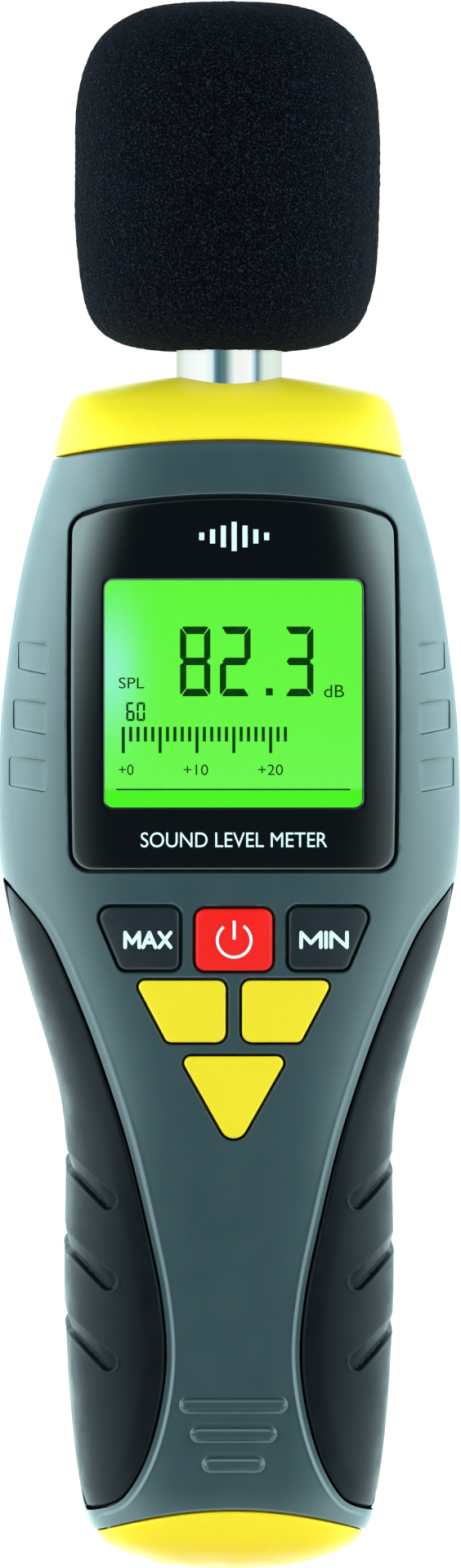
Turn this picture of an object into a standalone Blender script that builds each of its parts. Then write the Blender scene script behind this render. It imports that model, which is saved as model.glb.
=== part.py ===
"""Handheld sound level meter: display head, waisted handle, half-inch microphone and foam ball.

+Z runs up the long axis, which is also the microphone axis. The display and keys face -Y, the
battery door faces +Y, and left is -X. Dimensions are millimetres; meshes are scaled by MM.
"""
import bpy
import bmesh
from contextlib import contextmanager
from math import pi, cos, sin, tan, radians, atan2
from mathutils import Vector

MM = 0.001

# ------------------------------------------------------------------ driving dimensions (mm)
GAP = 0.3                      # clearance between neighbouring pieces
GLUE = 0.1                     # clearance of a bonded or pressed piece
FAR = 30.0                     # a reach in X or Y that clears the body
FAR_SIDE = 40.0                # the wider reach of cutters that end beyond the sides

# Body outline tables: (height, half width or depth from the Z axis)
HALF_WIDTH = [
    (0.0, 3.6), (0.5, 8.0), (1.1, 10.3), (2.3, 13.5), (3.5, 15.4), (5.9, 17.0), (10.0, 17.9),
    (16.0, 18.7), (25.0, 19.4), (36.0, 19.8), (50.0, 19.6), (55.0, 19.95), (61.0, 21.25),
    (70.0, 24.0), (78.5, 26.35), (85.0, 27.5), (91.0, 27.8), (100.0, 27.6), (110.0, 26.6),
    (120.0, 25.0), (127.7, 23.1), (134.0, 21.1), (137.5, 20.3), (139.5, 19.7), (140.8, 18.9),
    (141.5, 17.8), (142.3, 14.6), (143.1, 10.0), (143.7, 5.6)]
FRONT_DEPTH = [
    (0.0, 3.0), (0.5, 5.6), (1.1, 7.4), (2.3, 9.6), (3.5, 10.8), (5.9, 12.0), (10.0, 12.9),
    (16.0, 13.3), (28.0, 13.6), (45.0, 13.9), (60.0, 14.3), (72.0, 14.8), (84.0, 15.3),
    (100.0, 15.5), (120.0, 15.5), (134.0, 15.1), (137.0, 14.3), (138.9, 13.0), (140.3, 11.2),
    (141.5, 9.2), (142.3, 7.4), (143.1, 5.1), (143.7, 2.6)]
BACK_DEPTH = [
    (0.0, 3.0), (0.5, 5.8), (1.1, 7.8), (2.3, 10.4), (3.5, 12.0), (5.9, 14.0), (10.0, 16.0),
    (14.0, 16.6), (130.0, 16.6), (134.0, 16.2), (137.0, 15.2), (138.9, 13.6), (140.3, 11.6),
    (141.5, 9.2), (142.3, 7.4), (143.1, 5.1), (143.7, 2.6)]
BACK_FLAT = 15.6               # the back is flattened to this plane
FRONT_POWER = 3.0              # superellipse power of the front half of a section
BACK_POWER = 4.0
BODY_TOP = HALF_WIDTH[-1][0]

# Heights of the body sections
LEVELS = [0.0, 0.6, 1.6, 3.3, 5.9, 11.0, 20.0, 34.0, 50.0, 57.0, 65.0, 73.0, 82.0, 91.0,
          103.0, 115.0, 126.0, 134.0, 137.8, 140.4, 141.5, 142.3, 143.1, BODY_TOP]
RING = 32                      # points around an outer section
COARSE_RING = 24               # points around an inward offset


def levels_between(low, high):
    return [z for z in LEVELS if low < z < high]


OFFSET_LEVELS = levels_between(3.0, 141.0)   # the rounded ends are left out of the offsets

# Inside space
HOLLOW_LEVELS = [2.6, 4.2, 8.0, 22.0, 45.0, 57.0, 68.0, 80.0, 87.0, 104.0, 120.0, 130.0,
                 136.0, 139.0, 140.6]
WALL_SIDE = 2.2
WALL_FRONT = 3.6
WALL_FRONT_TOP = 2.0
WALL_THINNING = (130.0, 6.0)   # start and length of the change to the thinner front wall
WALL_BACK = 2.2
WALL_UNDER_GRIP = 4.1

# Seams: height at the sides, height in the middle, half width of the arc
TOP_SEAM = (133.9, 135.8, 21.0)
BOTTOM_SEAM = (4.4, 6.8, 16.6)
ABOVE_BODY = 160.0
BELOW_BODY = -10.0

# Soft side grips
GRIP_DEPTH = 2.0
GRIP_TOP = 83.6
GRIP_BOTTOM = 7.33
GRIP_BACK_INSET = 3.0          # rear edge, measured in from the side
# Front inner edge of a grip: (distance from the middle, height)
GRIP_EDGE = [(27.7, 83.5), (25.9, 81.3), (22.5, 76.8), (19.2, 69.6), (15.9, 61.0), (12.8, 51.3),
             (10.2, 40.5), (8.7, 33.0), (8.1, 26.0), (8.8, 19.5), (10.6, 13.2), (13.3, 8.7),
             (16.4, GRIP_BOTTOM), (18.6, GRIP_BOTTOM)]
SCOOP_HEIGHTS = (49.2, 40.0, 30.4)   # where a finger scoop leaves the side
SCOOP_R = 1.5

# Display
BEZEL_HALF = 19.6
BEZEL_TOP = (127.25, 128.9)    # at the corners, at the middle
BEZEL_BOTTOM = 84.2
BEZEL_THICK = 2.0
WINDOW_HALF = 15.5
WINDOW_Z = (91.7, 118.95)
WINDOW_Y = (-13.9, -12.7)

# Keys
KEY_PROUD = 0.5
KEY_FLANGE = 0.5               # how far the flange reaches past the key top
KEY_FLANGE_Y = (-11.3, -10.6)
KEY_POST_Y = -10.4
POCKET_Y = (-11.6, -5.2)

# Board
BOARD_Y = (-7.6, -6.0)
PART_FOOT_Y = BOARD_Y[1] + GLUE   # where the electronic parts stand on the board
TRIMMER_X, TRIMMER_Z = 14.0, 89.0

# Microphone
STEM_R = 6.35
STEM_Z = (129.0, 166.0)
SCREEN_BORE_R = 6.6
SCREEN_BORE_TOP = 172.4
SCREEN_BASE = 146.75

# Rear
DOOR_HALF = 14.7
DOOR_Z = (8.6, 65.2)
DOOR_CORNER = 2.0
DOOR_FACE_Y = 13.8             # inner face of the door
TRIPOD_Z = 98.0
LABEL_HALF = 13.0
LABEL_Z = (107.0, 121.0)
LABEL_CORNER = 1.0
TERMINAL_X, TERMINAL_Y = 6.35, 4.5
TERMINAL_Z = (59.05, 61.4)
LEAD_X = -5.2                  # middle of the pair of battery leads

# Screw places (x, z), from one side's (distance, height)
CASE_SCREWS = [(side * x, z) for x, z in ((16.0, 129.6), (16.2, 67.5)) for side in (-1, 1)]
BOARD_SCREWS = [(side * x, z) for x, z in ((17.3, 82.0), (16.9, 124.1)) for side in (-1, 1)]


# ------------------------------------------------------------------ scene and materials
for old_object in list(bpy.data.objects):
    bpy.data.objects.remove(old_object, do_unlink=True)


def material(name, colour, rough, metal=0.0, transmission=0.0):
    mat = bpy.data.materials.new(name)
    mat.use_nodes = True
    inputs = mat.node_tree.nodes["Principled BSDF"].inputs
    inputs["Base Color"].default_value = (*colour, 1.0)
    inputs["Roughness"].default_value = rough
    inputs["Metallic"].default_value = metal
    inputs["Transmission Weight"].default_value = transmission
    return mat


GREY = material("housing_grey", colour=(0.16, 0.25, 0.27), rough=0.45)
SOFT = material("soft_grip", colour=(0.02, 0.03, 0.035), rough=0.75)
YELLOW = material("cap_yellow", colour=(0.86, 0.74, 0.05), rough=0.38)
BLACK = material("gloss_black", colour=(0.01, 0.013, 0.016), rough=0.08)
CLEAR = material("clear_window", colour=(0.9, 0.95, 0.9), rough=0.05, transmission=0.9)
LCD = material("lcd_green", colour=(0.12, 0.85, 0.06), rough=0.3)
LIGHT_PLATE = material("light_plate", colour=(0.85, 0.9, 0.85), rough=0.4)
DARK_KEY = material("key_black", colour=(0.03, 0.045, 0.055), rough=0.5)
RED_KEY = material("key_red", colour=(0.85, 0.035, 0.04), rough=0.42)
YELLOW_KEY = material("key_yellow", colour=(0.78, 0.68, 0.045), rough=0.4)
STEEL = material("bright_metal", colour=(0.82, 0.83, 0.84), rough=0.18, metal=1.0)
ZINC = material("zinc_steel", colour=(0.6, 0.61, 0.63), rough=0.35, metal=1.0)
BRASS = material("brass", colour=(0.75, 0.56, 0.22), rough=0.3, metal=1.0)
FOAM = material("foam_black", colour=(0.012, 0.014, 0.018), rough=0.95)
RUBBER = material("rubber_black", colour=(0.02, 0.02, 0.022), rough=0.8)
SILICONE = material("silicone_grey", colour=(0.3, 0.31, 0.33), rough=0.6)
BOARD = material("board_green", colour=(0.02, 0.18, 0.06), rough=0.5)
CHIP = material("chip_black", colour=(0.02, 0.02, 0.022), rough=0.6)
CELL = material("cell_jacket", colour=(0.05, 0.09, 0.22), rough=0.4)
LEAD_RED = material("lead_red", colour=(0.6, 0.02, 0.02), rough=0.5)
LEAD_BLACK = material("lead_black", colour=(0.015, 0.015, 0.015), rough=0.5)
LABEL = material("label_white", colour=(0.75, 0.77, 0.76), rough=0.5)
BLUE = material("trimmer_blue", colour=(0.03, 0.12, 0.5), rough=0.4)

# Keys: outline (x, z), corner radii, material
KEYS = {
    "key_max": ([(-16.6, 79.7), (-6.57, 79.7), (-6.57, 72.2), (-13.6, 72.2)],
                [0.7] * 4, DARK_KEY),
    "key_power": ([(-4.6, 79.5), (4.6, 79.5), (4.6, 72.1), (-4.6, 72.1)],
                  [1.1] * 4, RED_KEY),
    "key_min": ([(6.57, 79.7), (16.6, 79.7), (13.6, 72.2), (6.57, 72.2)],
                [0.7] * 4, DARK_KEY),
    "key_left": ([(-11.9, 70.9), (-1.0, 70.9), (-1.0, 63.5), (-8.0, 63.5)],
                 [0.7] * 4, YELLOW_KEY),
    "key_right": ([(1.0, 70.9), (11.9, 70.9), (8.0, 63.5), (1.0, 63.5)],
                  [0.7] * 4, YELLOW_KEY),
    "key_lower": ([(-6.5, 61.8), (6.5, 61.8), (0.0, 50.3)],
                  [0.7, 0.7, 1.5], YELLOW_KEY),
}


# ------------------------------------------------------------------ mesh editing
@contextmanager
def editing(mesh):
    """A bmesh of the mesh, written back at the end."""
    bm = bmesh.new()
    bm.from_mesh(mesh)
    yield bm
    bm.to_mesh(mesh)
    bm.free()


def merge_tiny(bm, dist):
    bmesh.ops.remove_doubles(bm, verts=bm.verts, dist=dist)
    bmesh.ops.dissolve_degenerate(bm, edges=bm.edges, dist=dist)


def link_object(name, mesh):
    ob = bpy.data.objects.new(name, mesh)
    bpy.context.collection.objects.link(ob)
    return ob


def new_object(verts, faces):
    """An object in metres from millimetre points; finish() names it."""
    mesh = bpy.data.meshes.new("part")
    mesh.from_pydata([(x * MM, y * MM, z * MM) for x, y, z in verts], [], faces)
    mesh.validate()
    with editing(mesh) as bm:
        bmesh.ops.recalc_face_normals(bm, faces=bm.faces)
    return link_object("part", mesh)


def settle(mesh):
    """Merge the tiny edges a Boolean leaves and triangulate, so that the next one is exact."""
    with editing(mesh) as bm:
        merge_tiny(bm, 0.003 * MM)
        loose = [edge for edge in bm.edges if not edge.link_faces]
        bmesh.ops.delete(bm, geom=loose, context="EDGES")
        bmesh.ops.triangulate(bm, faces=bm.faces)


def boolean(target, tool, operation):
    """Apply a Boolean to target and remove the tool; a list of tools acts all at once."""
    many = isinstance(tool, list)
    mod = target.modifiers.new("cut", "BOOLEAN")
    mod.operation = operation
    if many:
        group = bpy.data.collections.new("tools")
        for ob in tool:
            group.objects.link(ob)
        mod.operand_type = "COLLECTION"
        mod.collection = group
    else:
        mod.object = tool
    mod.solver = "EXACT"
    bpy.context.view_layer.update()
    depsgraph = bpy.context.evaluated_depsgraph_get()
    mesh = bpy.data.meshes.new_from_object(target.evaluated_get(depsgraph))
    settle(mesh)
    target.modifiers.clear()
    old_mesh = target.data
    target.data = mesh
    bpy.data.meshes.remove(old_mesh)
    for ob in (tool if many else [tool]):
        bpy.data.objects.remove(ob, do_unlink=True)
    if many:
        bpy.data.collections.remove(group)
    return target


def cut(target, tool):
    return boolean(target, tool, "DIFFERENCE")


def join(target, tool):
    return boolean(target, tool, "UNION")


def intersect(target, tool):
    return boolean(target, tool, "INTERSECT")


def finish(ob, name, mat, angle=32.0):
    """Clean the mesh, name the piece, give it its material and mark edges sharper than angle."""
    with editing(ob.data) as bm:
        merge_tiny(bm, 0.004 * MM)
        bmesh.ops.dissolve_limit(bm, angle_limit=radians(1.2), verts=bm.verts, edges=bm.edges)
        bmesh.ops.triangulate(bm, faces=bm.faces)
        bmesh.ops.recalc_face_normals(bm, faces=bm.faces)
    ob.name = name
    ob.data.materials.clear()
    ob.data.materials.append(mat)
    for polygon in ob.data.polygons:
        polygon.use_smooth = True
        polygon.material_index = 0
    ob.data.set_sharp_from_angle(angle=radians(angle))
    return ob


def set_origin(ob, x, y, z):
    """Move the origin without moving the shape."""
    origin = Vector((x, y, z)) * MM
    for vert in ob.data.vertices:
        vert.co -= origin
    ob.location = origin


# ------------------------------------------------------------------ curves and outlines
def curve_at(table, z):
    """Smooth monotone interpolation of a table of (height, value)."""
    if z <= table[0][0]:
        return table[0][1]
    if z >= table[-1][0]:
        return table[-1][1]
    spans = [b[0] - a[0] for a, b in zip(table, table[1:])]
    slopes = [(b[1] - a[1]) / span for a, b, span in zip(table, table[1:], spans)]
    tangents = [slopes[0]]
    for s0, s1 in zip(slopes, slopes[1:]):
        tangents.append(0.0 if s0 * s1 <= 0 else 2.0 * s0 * s1 / (s0 + s1))
    tangents.append(slopes[-1])
    i = next(k for k in range(len(spans)) if z <= table[k + 1][0])
    t = (z - table[i][0]) / spans[i]
    return (table[i][1] * (2 * t ** 3 - 3 * t ** 2 + 1)
            + tangents[i] * spans[i] * (t ** 3 - 2 * t ** 2 + t)
            + table[i + 1][1] * (-2 * t ** 3 + 3 * t ** 2)
            + tangents[i + 1] * spans[i] * (t ** 3 - t ** 2))


def through(points, steps=2):
    """Catmull-Rom curve through points."""
    padded = [points[0]] + list(points) + [points[-1]]
    curve = []
    for p0, p1, p2, p3 in zip(padded, padded[1:], padded[2:], padded[3:]):
        for step in range(steps):
            t = step / steps
            curve.append(tuple(
                0.5 * (2 * b + (c - a) * t + (2 * a - 5 * b + 4 * c - d) * t * t
                       + (3 * b - a - 3 * c + d) * t ** 3)
                for a, b, c, d in zip(p0, p1, p2, p3)))
    curve.append(tuple(points[-1]))
    return curve


def rounded(points, radius, seg=3):
    """Round the corners of a polygon; radius is one value or one per corner."""
    n = len(points)
    radii = radius if isinstance(radius, list) else [radius] * n
    outline = []
    for i, r in enumerate(radii):
        corner = Vector(points[i])
        if r <= 0:
            outline.append(tuple(corner))
            continue
        to_last = (Vector(points[i - 1]) - corner).normalized()
        to_next = (Vector(points[(i + 1) % n]) - corner).normalized()
        half = to_last.angle(to_next) / 2
        setback = r / tan(half)
        start, end = corner + to_last * setback, corner + to_next * setback
        centre = corner + (to_last + to_next).normalized() * (r / sin(half))
        start_angle = atan2(*(start - centre).yx)
        turn = (atan2(*(end - centre).yx) - start_angle + pi) % (2 * pi) - pi
        for k in range(seg + 1):
            angle = start_angle + turn * k / seg
            outline.append((centre.x + r * cos(angle), centre.y + r * sin(angle)))
    return outline


def grow(points, distance):
    """Move the edges of a convex polygon outwards."""
    pairs = list(zip(points, points[1:] + points[:1]))
    area = sum(p[0] * q[1] - q[0] * p[1] for p, q in pairs)
    sign = 1 if area > 0 else -1
    lines = []
    for p, q in pairs:
        start = Vector(p)
        along = (Vector(q) - start).normalized()
        outward = Vector((along.y, -along.x)) * sign
        lines.append((start + outward * distance, along))
    corners = []
    for i, (q, u) in enumerate(lines):
        p, t = lines[i - 1]
        k = ((q - p).x * u.y - (q - p).y * u.x) / (t.x * u.y - t.y * u.x)
        corners.append(tuple(p + t * k))
    return corners


def circle(cx, cy, r, n):
    return [(cx + r * cos(2 * pi * i / n), cy + r * sin(2 * pi * i / n)) for i in range(n)]


def rect(x0, x1, v0, v1):
    """Rectangle in x and a second axis v."""
    return [(x0, v0), (x1, v0), (x1, v1), (x0, v1)]


def mirror(points):
    return [(-x, z) for x, z in points][::-1]


def symmetric(right):
    """A whole outline from its right half, listed upwards."""
    left = mirror(right)
    return [left[-1]] + right + left[:-1]


# ------------------------------------------------------------------ solids
def loft(rings):
    n = len(rings[0])
    verts = [p for ring in rings for p in ring]
    faces = []
    for k in range(len(rings) - 1):
        for i in range(n):
            j = (i + 1) % n
            faces.append((k * n + i, k * n + j, (k + 1) * n + j, (k + 1) * n + i))
    faces.append(tuple(range(n - 1, -1, -1)))
    last = (len(rings) - 1) * n
    faces.append(tuple(last + i for i in range(n)))
    return new_object(verts, faces)


def prism(start, end):
    n = len(start)
    faces = [tuple(range(n)), tuple(range(2 * n - 1, n - 1, -1))]
    faces += [(i, (i + 1) % n, n + (i + 1) % n, n + i) for i in range(n)]
    return new_object(start + end, faces)


def prism_y(outline, y0, y1):
    """Outline in (x, z), extruded along Y."""
    return prism([(x, y0, z) for x, z in outline], [(x, y1, z) for x, z in outline])


def prism_z(outline, z0, z1):
    """Outline in (x, y), extruded along Z."""
    return prism([(x, y, z0) for x, y in outline], [(x, y, z1) for x, y in outline])


def box(x, y, z):
    """A box from its (low, high) pairs."""
    return prism_y(rect(*x, *z), *y)


def cyl_y(x, z, r, y0, y1, n):
    return prism_y(circle(x, z, r, n), y0, y1)


def cyl_z(x, y, r, z0, z1, n):
    return prism_z(circle(x, y, r, n), z0, z1)


def lathe_z(profile, n):
    """Closed (radius, height) profile turned about the Z axis."""
    verts, rings, faces = [], [], []
    for r, z in profile:
        first = len(verts)
        ring = [(0.0, 0.0, z)] if r < 1e-6 else [(x, y, z) for x, y in circle(0.0, 0.0, r, n)]
        verts += ring
        rings.append(range(first, first + len(ring)))
    for a, b in zip(rings, rings[1:] + rings[:1]):
        if len(a) == 1 and len(b) == 1:
            continue
        for i in range(n):
            j = (i + 1) % n
            if len(a) == 1:
                faces.append((a[0], b[i], b[j]))
            elif len(b) == 1:
                faces.append((a[i], b[0], a[j]))
            else:
                faces.append((a[i], b[i], b[j], a[j]))
    return new_object(verts, faces)


def tube_path(path, r, n=8):
    """A round cord along a path."""
    points = [Vector(p) for p in path]
    rings = []
    for i, p in enumerate(points):
        along = (points[min(i + 1, len(points) - 1)] - points[max(i - 1, 0)]).normalized()
        u = along.cross(Vector((1.0, 0.13, 0.0))).normalized()   # askew, never along the cord
        v = along.cross(u)
        rings.append([tuple(p + u * r * cos(2 * pi * k / n) + v * r * sin(2 * pi * k / n))
                      for k in range(n)])
    return loft(rings)


# ------------------------------------------------------------------ body shapes
def section(z, side, front, back, points):
    """One body section, moved inwards by side/front/back."""
    least = 0.6
    width = max(curve_at(HALF_WIDTH, z) - side, least)
    front_depth = max(curve_at(FRONT_DEPTH, z) - front, least)
    back_depth = max(curve_at(BACK_DEPTH, z) - back, least)
    ring = []
    for i in range(points):
        angle = 2 * pi * i / points
        c, s = cos(angle), sin(angle)
        power, depth = (FRONT_POWER, front_depth) if s < 0 else (BACK_POWER, back_depth)
        x = width * abs(c) ** (2 / power) * (1 if c >= 0 else -1)
        y = depth * abs(s) ** (2 / power) * (1 if s >= 0 else -1)
        if abs(c) < 1e-9:
            x = 0.0
        ring.append((x, min(y, BACK_FLAT - back), z))
    return ring


def body(inset=0.0, levels=LEVELS, points=RING):
    """The whole outer body, moved inwards (or outwards when inset is negative)."""
    rings = []
    for z in levels:
        ring = section(z, inset, inset, inset, points)
        if z <= LEVELS[0]:
            ring = [(x, y, z + inset) for x, y, _ in ring]
        elif z >= BODY_TOP:
            ring = [(x, y, z - inset) for x, y, _ in ring]
        rings.append(ring)
    return loft(rings)


def inner_body(inset):
    """The coarser inward offset that sets the depth of inlaid pieces."""
    return body(inset, OFFSET_LEVELS, COARSE_RING)


def hollow():
    """The inside space of the covers and caps."""
    thin_from, thin_length = WALL_THINNING
    rings = []
    for z in HOLLOW_LEVELS:
        side = WALL_UNDER_GRIP if z < 81 else WALL_SIDE
        front, back = WALL_FRONT, WALL_BACK
        if z > thin_from:
            front -= (WALL_FRONT - WALL_FRONT_TOP) * min((z - thin_from) / thin_length, 1.0)
        if z == HOLLOW_LEVELS[0]:
            side, front = side + 1.5, front + 1.0
        if z == HOLLOW_LEVELS[-1]:
            side, front, back = side + 2.2, front + 1.2, back + 1.2
        rings.append(section(z, side, front, back, COARSE_RING))
    return loft(rings)


def beyond_seam(seam, far_z, shift_z):
    """Everything between an arched seam, moved by shift_z, and far_z."""
    side_z, middle_z, half = seam
    arc = [(x, side_z + (middle_z - side_z) * max(0.0, 1 - (x / half) ** 2) + shift_z)
           for x in [-FAR] + [half * (i - 7) / 7 for i in range(15)] + [FAR]]
    return prism_y(arc + [(FAR, far_z), (-FAR, far_z)], -FAR, FAR)


def bezel_outline(extra=0.0):
    """Bezel with bowed sides and an arched top, widened by extra."""
    half = BEZEL_HALF + extra
    end_half = half - 0.5
    corner, middle = BEZEL_TOP[0] + extra, BEZEL_TOP[1] + extra
    bottom, shoulder = BEZEL_BOTTOM - extra, corner - 0.9
    arch_half = 17.4
    arch = [(x * half / BEZEL_HALF, corner + (middle - corner) * (1 - (x / arch_half) ** 2))
            for x in (13, 8, 3, -3, -8, -13)]
    points = [(-end_half, bottom), (end_half, bottom), (half, bottom + 18), (half, bottom + 30),
              (end_half, shoulder)] + arch + [
              (-end_half, shoulder), (-half, bottom + 30), (-half, bottom + 18)]
    radii = [2.4, 2.4, 0, 0, 2.2] + [0] * len(arch) + [2.2, 0, 0]
    return rounded(points, radii)


def window_outline():
    return rect(-WINDOW_HALF, WINDOW_HALF, *WINDOW_Z)


def door_outline(extra=0.0):
    outline = rect(-DOOR_HALF, DOOR_HALF, *DOOR_Z)
    return rounded(grow(outline, extra) if extra else outline, DOOR_CORNER + extra)


def key_outline(key, extra=0.0):
    outline, radii, _ = KEYS[key]
    return rounded(grow(outline, extra) if extra else outline, [r + extra for r in radii], 2)


def key_centre(key):
    outline = KEYS[key][0]
    return tuple(sum(p[axis] for p in outline) / len(outline) for axis in (0, 1))


def grip_region(side, extra=0.0):
    """Everything a side grip covers, as a through cutter; extra widens it."""
    top, bottom = GRIP_TOP + extra, GRIP_BOTTOM - extra
    edge = through(GRIP_EDGE)
    front = []
    for i, (x, z) in enumerate(edge):
        before, after = Vector(edge[max(i - 1, 0)]), Vector(edge[min(i + 1, len(edge) - 1)])
        along = (after - before).normalized()
        front.append((x + along.y * extra, z - along.x * extra))
    front[0] = (front[0][0], top)
    front = [(FAR_SIDE, top)] + front + [(FAR_SIDE, bottom)]
    back = [(FAR_SIDE, top)]
    steps = 8
    for i in range(steps + 1):
        z = top - (top - bottom) * i / steps
        back.append((curve_at(HALF_WIDTH, z) - GRIP_BACK_INSET - extra, z))
    back.append((FAR_SIDE, bottom))
    if side < 0:
        front, back = mirror(front), mirror(back)
    overlap = 1.0
    return join(prism_y(front, -FAR, overlap), prism_y(back, -overlap, FAR))


# ------------------------------------------------------------------ housing
def make_top_cap():
    cap = intersect(body(), beyond_seam(TOP_SEAM, ABOVE_BODY, GAP / 2))
    cut(cap, hollow())
    cut(cap, cyl_z(0, 0, STEM_R + 0.15, 120, 160, 32))
    finish(cap, "top_cap", YELLOW)


def make_bottom_cap():
    cap = intersect(body(), beyond_seam(BOTTOM_SEAM, BELOW_BODY, -GAP / 2))
    cut(cap, hollow())
    finish(cap, "bottom_cap", YELLOW)


def make_barrel():
    """The solid between the caps, less the grip recesses; both covers are cut from it."""
    tools = [beyond_seam(TOP_SEAM, ABOVE_BODY, -GAP / 2),
             beyond_seam(BOTTOM_SEAM, BELOW_BODY, GAP / 2)]
    for side in (-1, 1):
        tools.append(cut(grip_region(side, GAP), inner_body(GRIP_DEPTH + GAP)))
    return cut(body(), tools)


def other_half(y0, y1):
    return box(x=(-FAR_SIDE, FAR_SIDE), y=(y0, y1), z=(-5, 150))


def side_pad_tools():
    """Cutters of the three shallow slanted pads on each side of the display."""
    # bottom height, top height, inner distance, outer distance
    pads = ((107.5, 111.3, 22.3, 25.7), (100.3, 104.3, 22.4, 26.3), (93.4, 97.4, 22.5, 26.8))
    tools = []
    for z0, z1, x0, x1 in pads:
        for side in (-1, 1):
            points = [(side * x0, z0 + 0.1), (side * x1, z0 + 0.9),
                      (side * x1, z1 + 0.4), (side * x0, z1 - 0.1)]
            pad = prism_y(rounded(points, 0.4, 2), -FAR, -2)
            tools.append(cut(pad, body(0.35, levels_between(70, 138))))
    return tools


def thumb_bars():
    """Three raised bars low on the front, shorter towards the bottom."""
    half_height = 0.95
    bars = []
    for z, half in ((19.6, 6.4), (16.1, 5.1), (12.5, 3.7)):
        outline = rounded(rect(-half, half, z - half_height, z + half_height),
                          half_height - 0.02)
        bars.append(intersect(prism_y(outline, -FAR, -12.0), body(-0.45)))
    return bars


def make_front_cover(cover):
    cut(cover, [other_half(-GAP / 2, FAR), hollow()])

    bosses = []
    for x, z in CASE_SCREWS:
        bosses.append(cyl_y(x, z, 2.5, -7.7 if z < 90 else -10.6, -GAP / 2 - 0.4, 10))
    for x, z in BOARD_SCREWS:
        bosses.append(cyl_y(x, z, 2.2, -11.2, BOARD_Y[0] - 0.05, 8))
    join(cover, bosses)

    # bezel recess, display opening, key holes and flange pockets, screw holes, side pads
    recess = cut(prism_y(bezel_outline(GAP), -FAR, 0), inner_body(BEZEL_THICK + GAP))
    tools = [recess, box(x=(-17.0, 17.0), y=(-20, -5), z=(89.6, 121.5))]
    for key in KEYS:
        tools.append(prism_y(key_outline(key, GAP), -FAR, -5))
        tools.append(prism_y(key_outline(key, KEY_FLANGE + GAP), *POCKET_Y))
    for x, z in CASE_SCREWS:
        tools.append(cyl_y(x, z, 1.3, -6.4, 5, 8))
    for x, z in BOARD_SCREWS:
        tools.append(cyl_y(x, z, 1.0, -9.85, 5, 8))
    cut(cover, tools + side_pad_tools())
    join(cover, thumb_bars())
    finish(cover, "front_cover", GREY)


def make_rear_cover(cover):
    cut(cover, [other_half(-FAR, GAP / 2), hollow()])

    # screw bosses, tripod boss, battery box in two widths
    box_z = (11.4, 64.55)
    solids = [cyl_y(x, z, 3.0, GAP / 2 + 0.4, 13.2, 10) for x, z in CASE_SCREWS]
    solids.append(cyl_y(0, TRIPOD_Z, 7.2, 6.2, 14.4, 14))
    solids.append(box(x=(-14.6, 14.6), y=(0.55, 14.25), z=box_z))
    solids.append(box(x=(-12.3, 12.3), y=(-5.2, 1.0), z=box_z))
    join(cover, solids)

    label_recess = grow(rect(-LABEL_HALF, LABEL_HALF, *LABEL_Z), GAP)
    tools = [box(x=(-13.6, 13.6), y=(-4.3, FAR), z=(12.3, 63.7)),       # battery space
             prism_y(door_outline(GAP), DOOR_FACE_Y - GAP, FAR),
             cyl_y(0, TRIPOD_Z, 5.15, 5, FAR, 20),
             prism_y(rounded(label_recess, LABEL_CORNER + GAP, 2), 15.2, FAR),
             box(x=(-7.4, -3.0), y=(4.6, 7.4), z=(62.5, 66.5))]         # lead opening
    for x, z in CASE_SCREWS:
        tools.append(cyl_y(x, z, 1.5, -3, FAR, 8))
        tools.append(cyl_y(x, z, 2.65, 12.5, FAR, 12))
    cut(cover, tools)
    finish(cover, "rear_cover", GREY)


def make_grip(name, side):
    """A side grip with three slanted finger scoops."""
    grip = intersect(body(), grip_region(side))
    cut(grip, inner_body(GRIP_DEPTH))
    for z in SCOOP_HEIGHTS:
        # a round channel that starts behind the side and dies out on the front
        width, front = curve_at(HALF_WIDTH, z), -curve_at(FRONT_DEPTH, z)
        path = through([(width + 1.0, 1.0, z + 1.4), (width + 0.2, -6.5, z - 0.9),
                        (width - 2.6, front + 2.0, z - 3.6),
                        (width - 6.0, front + 0.25, z - 5.4)])
        cut(grip, tube_path([(side * px, py, pz) for px, py, pz in path], SCOOP_R))
    finish(grip, name, SOFT, angle=45)


# ------------------------------------------------------------------ display
def make_bezel():
    bezel = intersect(body(), prism_y(bezel_outline(), -FAR, 0))
    cut(bezel, inner_body(BEZEL_THICK))
    cut(bezel, prism_y(rounded(window_outline(), 0.8), -FAR, 0))
    finish(bezel, "display_bezel", BLACK, angle=25)


def make_display_stack():
    """Window, LCD, backlight, frame and contact strip, all behind the bezel."""
    window = prism_y(rounded(grow(window_outline(), -GLUE), 0.7), *WINDOW_Y)
    finish(window, "display_window", CLEAR)
    lcd = box(x=(-16.1, 16.1), y=(-11.3, -9.9), z=(90.2, 120.8))
    finish(lcd, "lcd_panel", LCD)
    backlight = box(x=(-15.9, 15.9), y=(-9.7, -8.3), z=(93.2, 120.6))
    finish(backlight, "backlight_panel", LIGHT_PLATE)
    frame = box(x=(-17.2, 17.2), y=(-9.2, -7.9), z=(88.4, 121.6))
    cut(frame, box(x=(-16.3, 16.3), y=(-12, -5), z=(89.7, 120.9)))
    finish(frame, "lcd_frame", RUBBER)
    zebra = box(x=(-15.6, 15.6), y=(-9.75, -7.9), z=(90.2, 92.6))
    finish(zebra, "zebra_strip", SILICONE)


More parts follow.
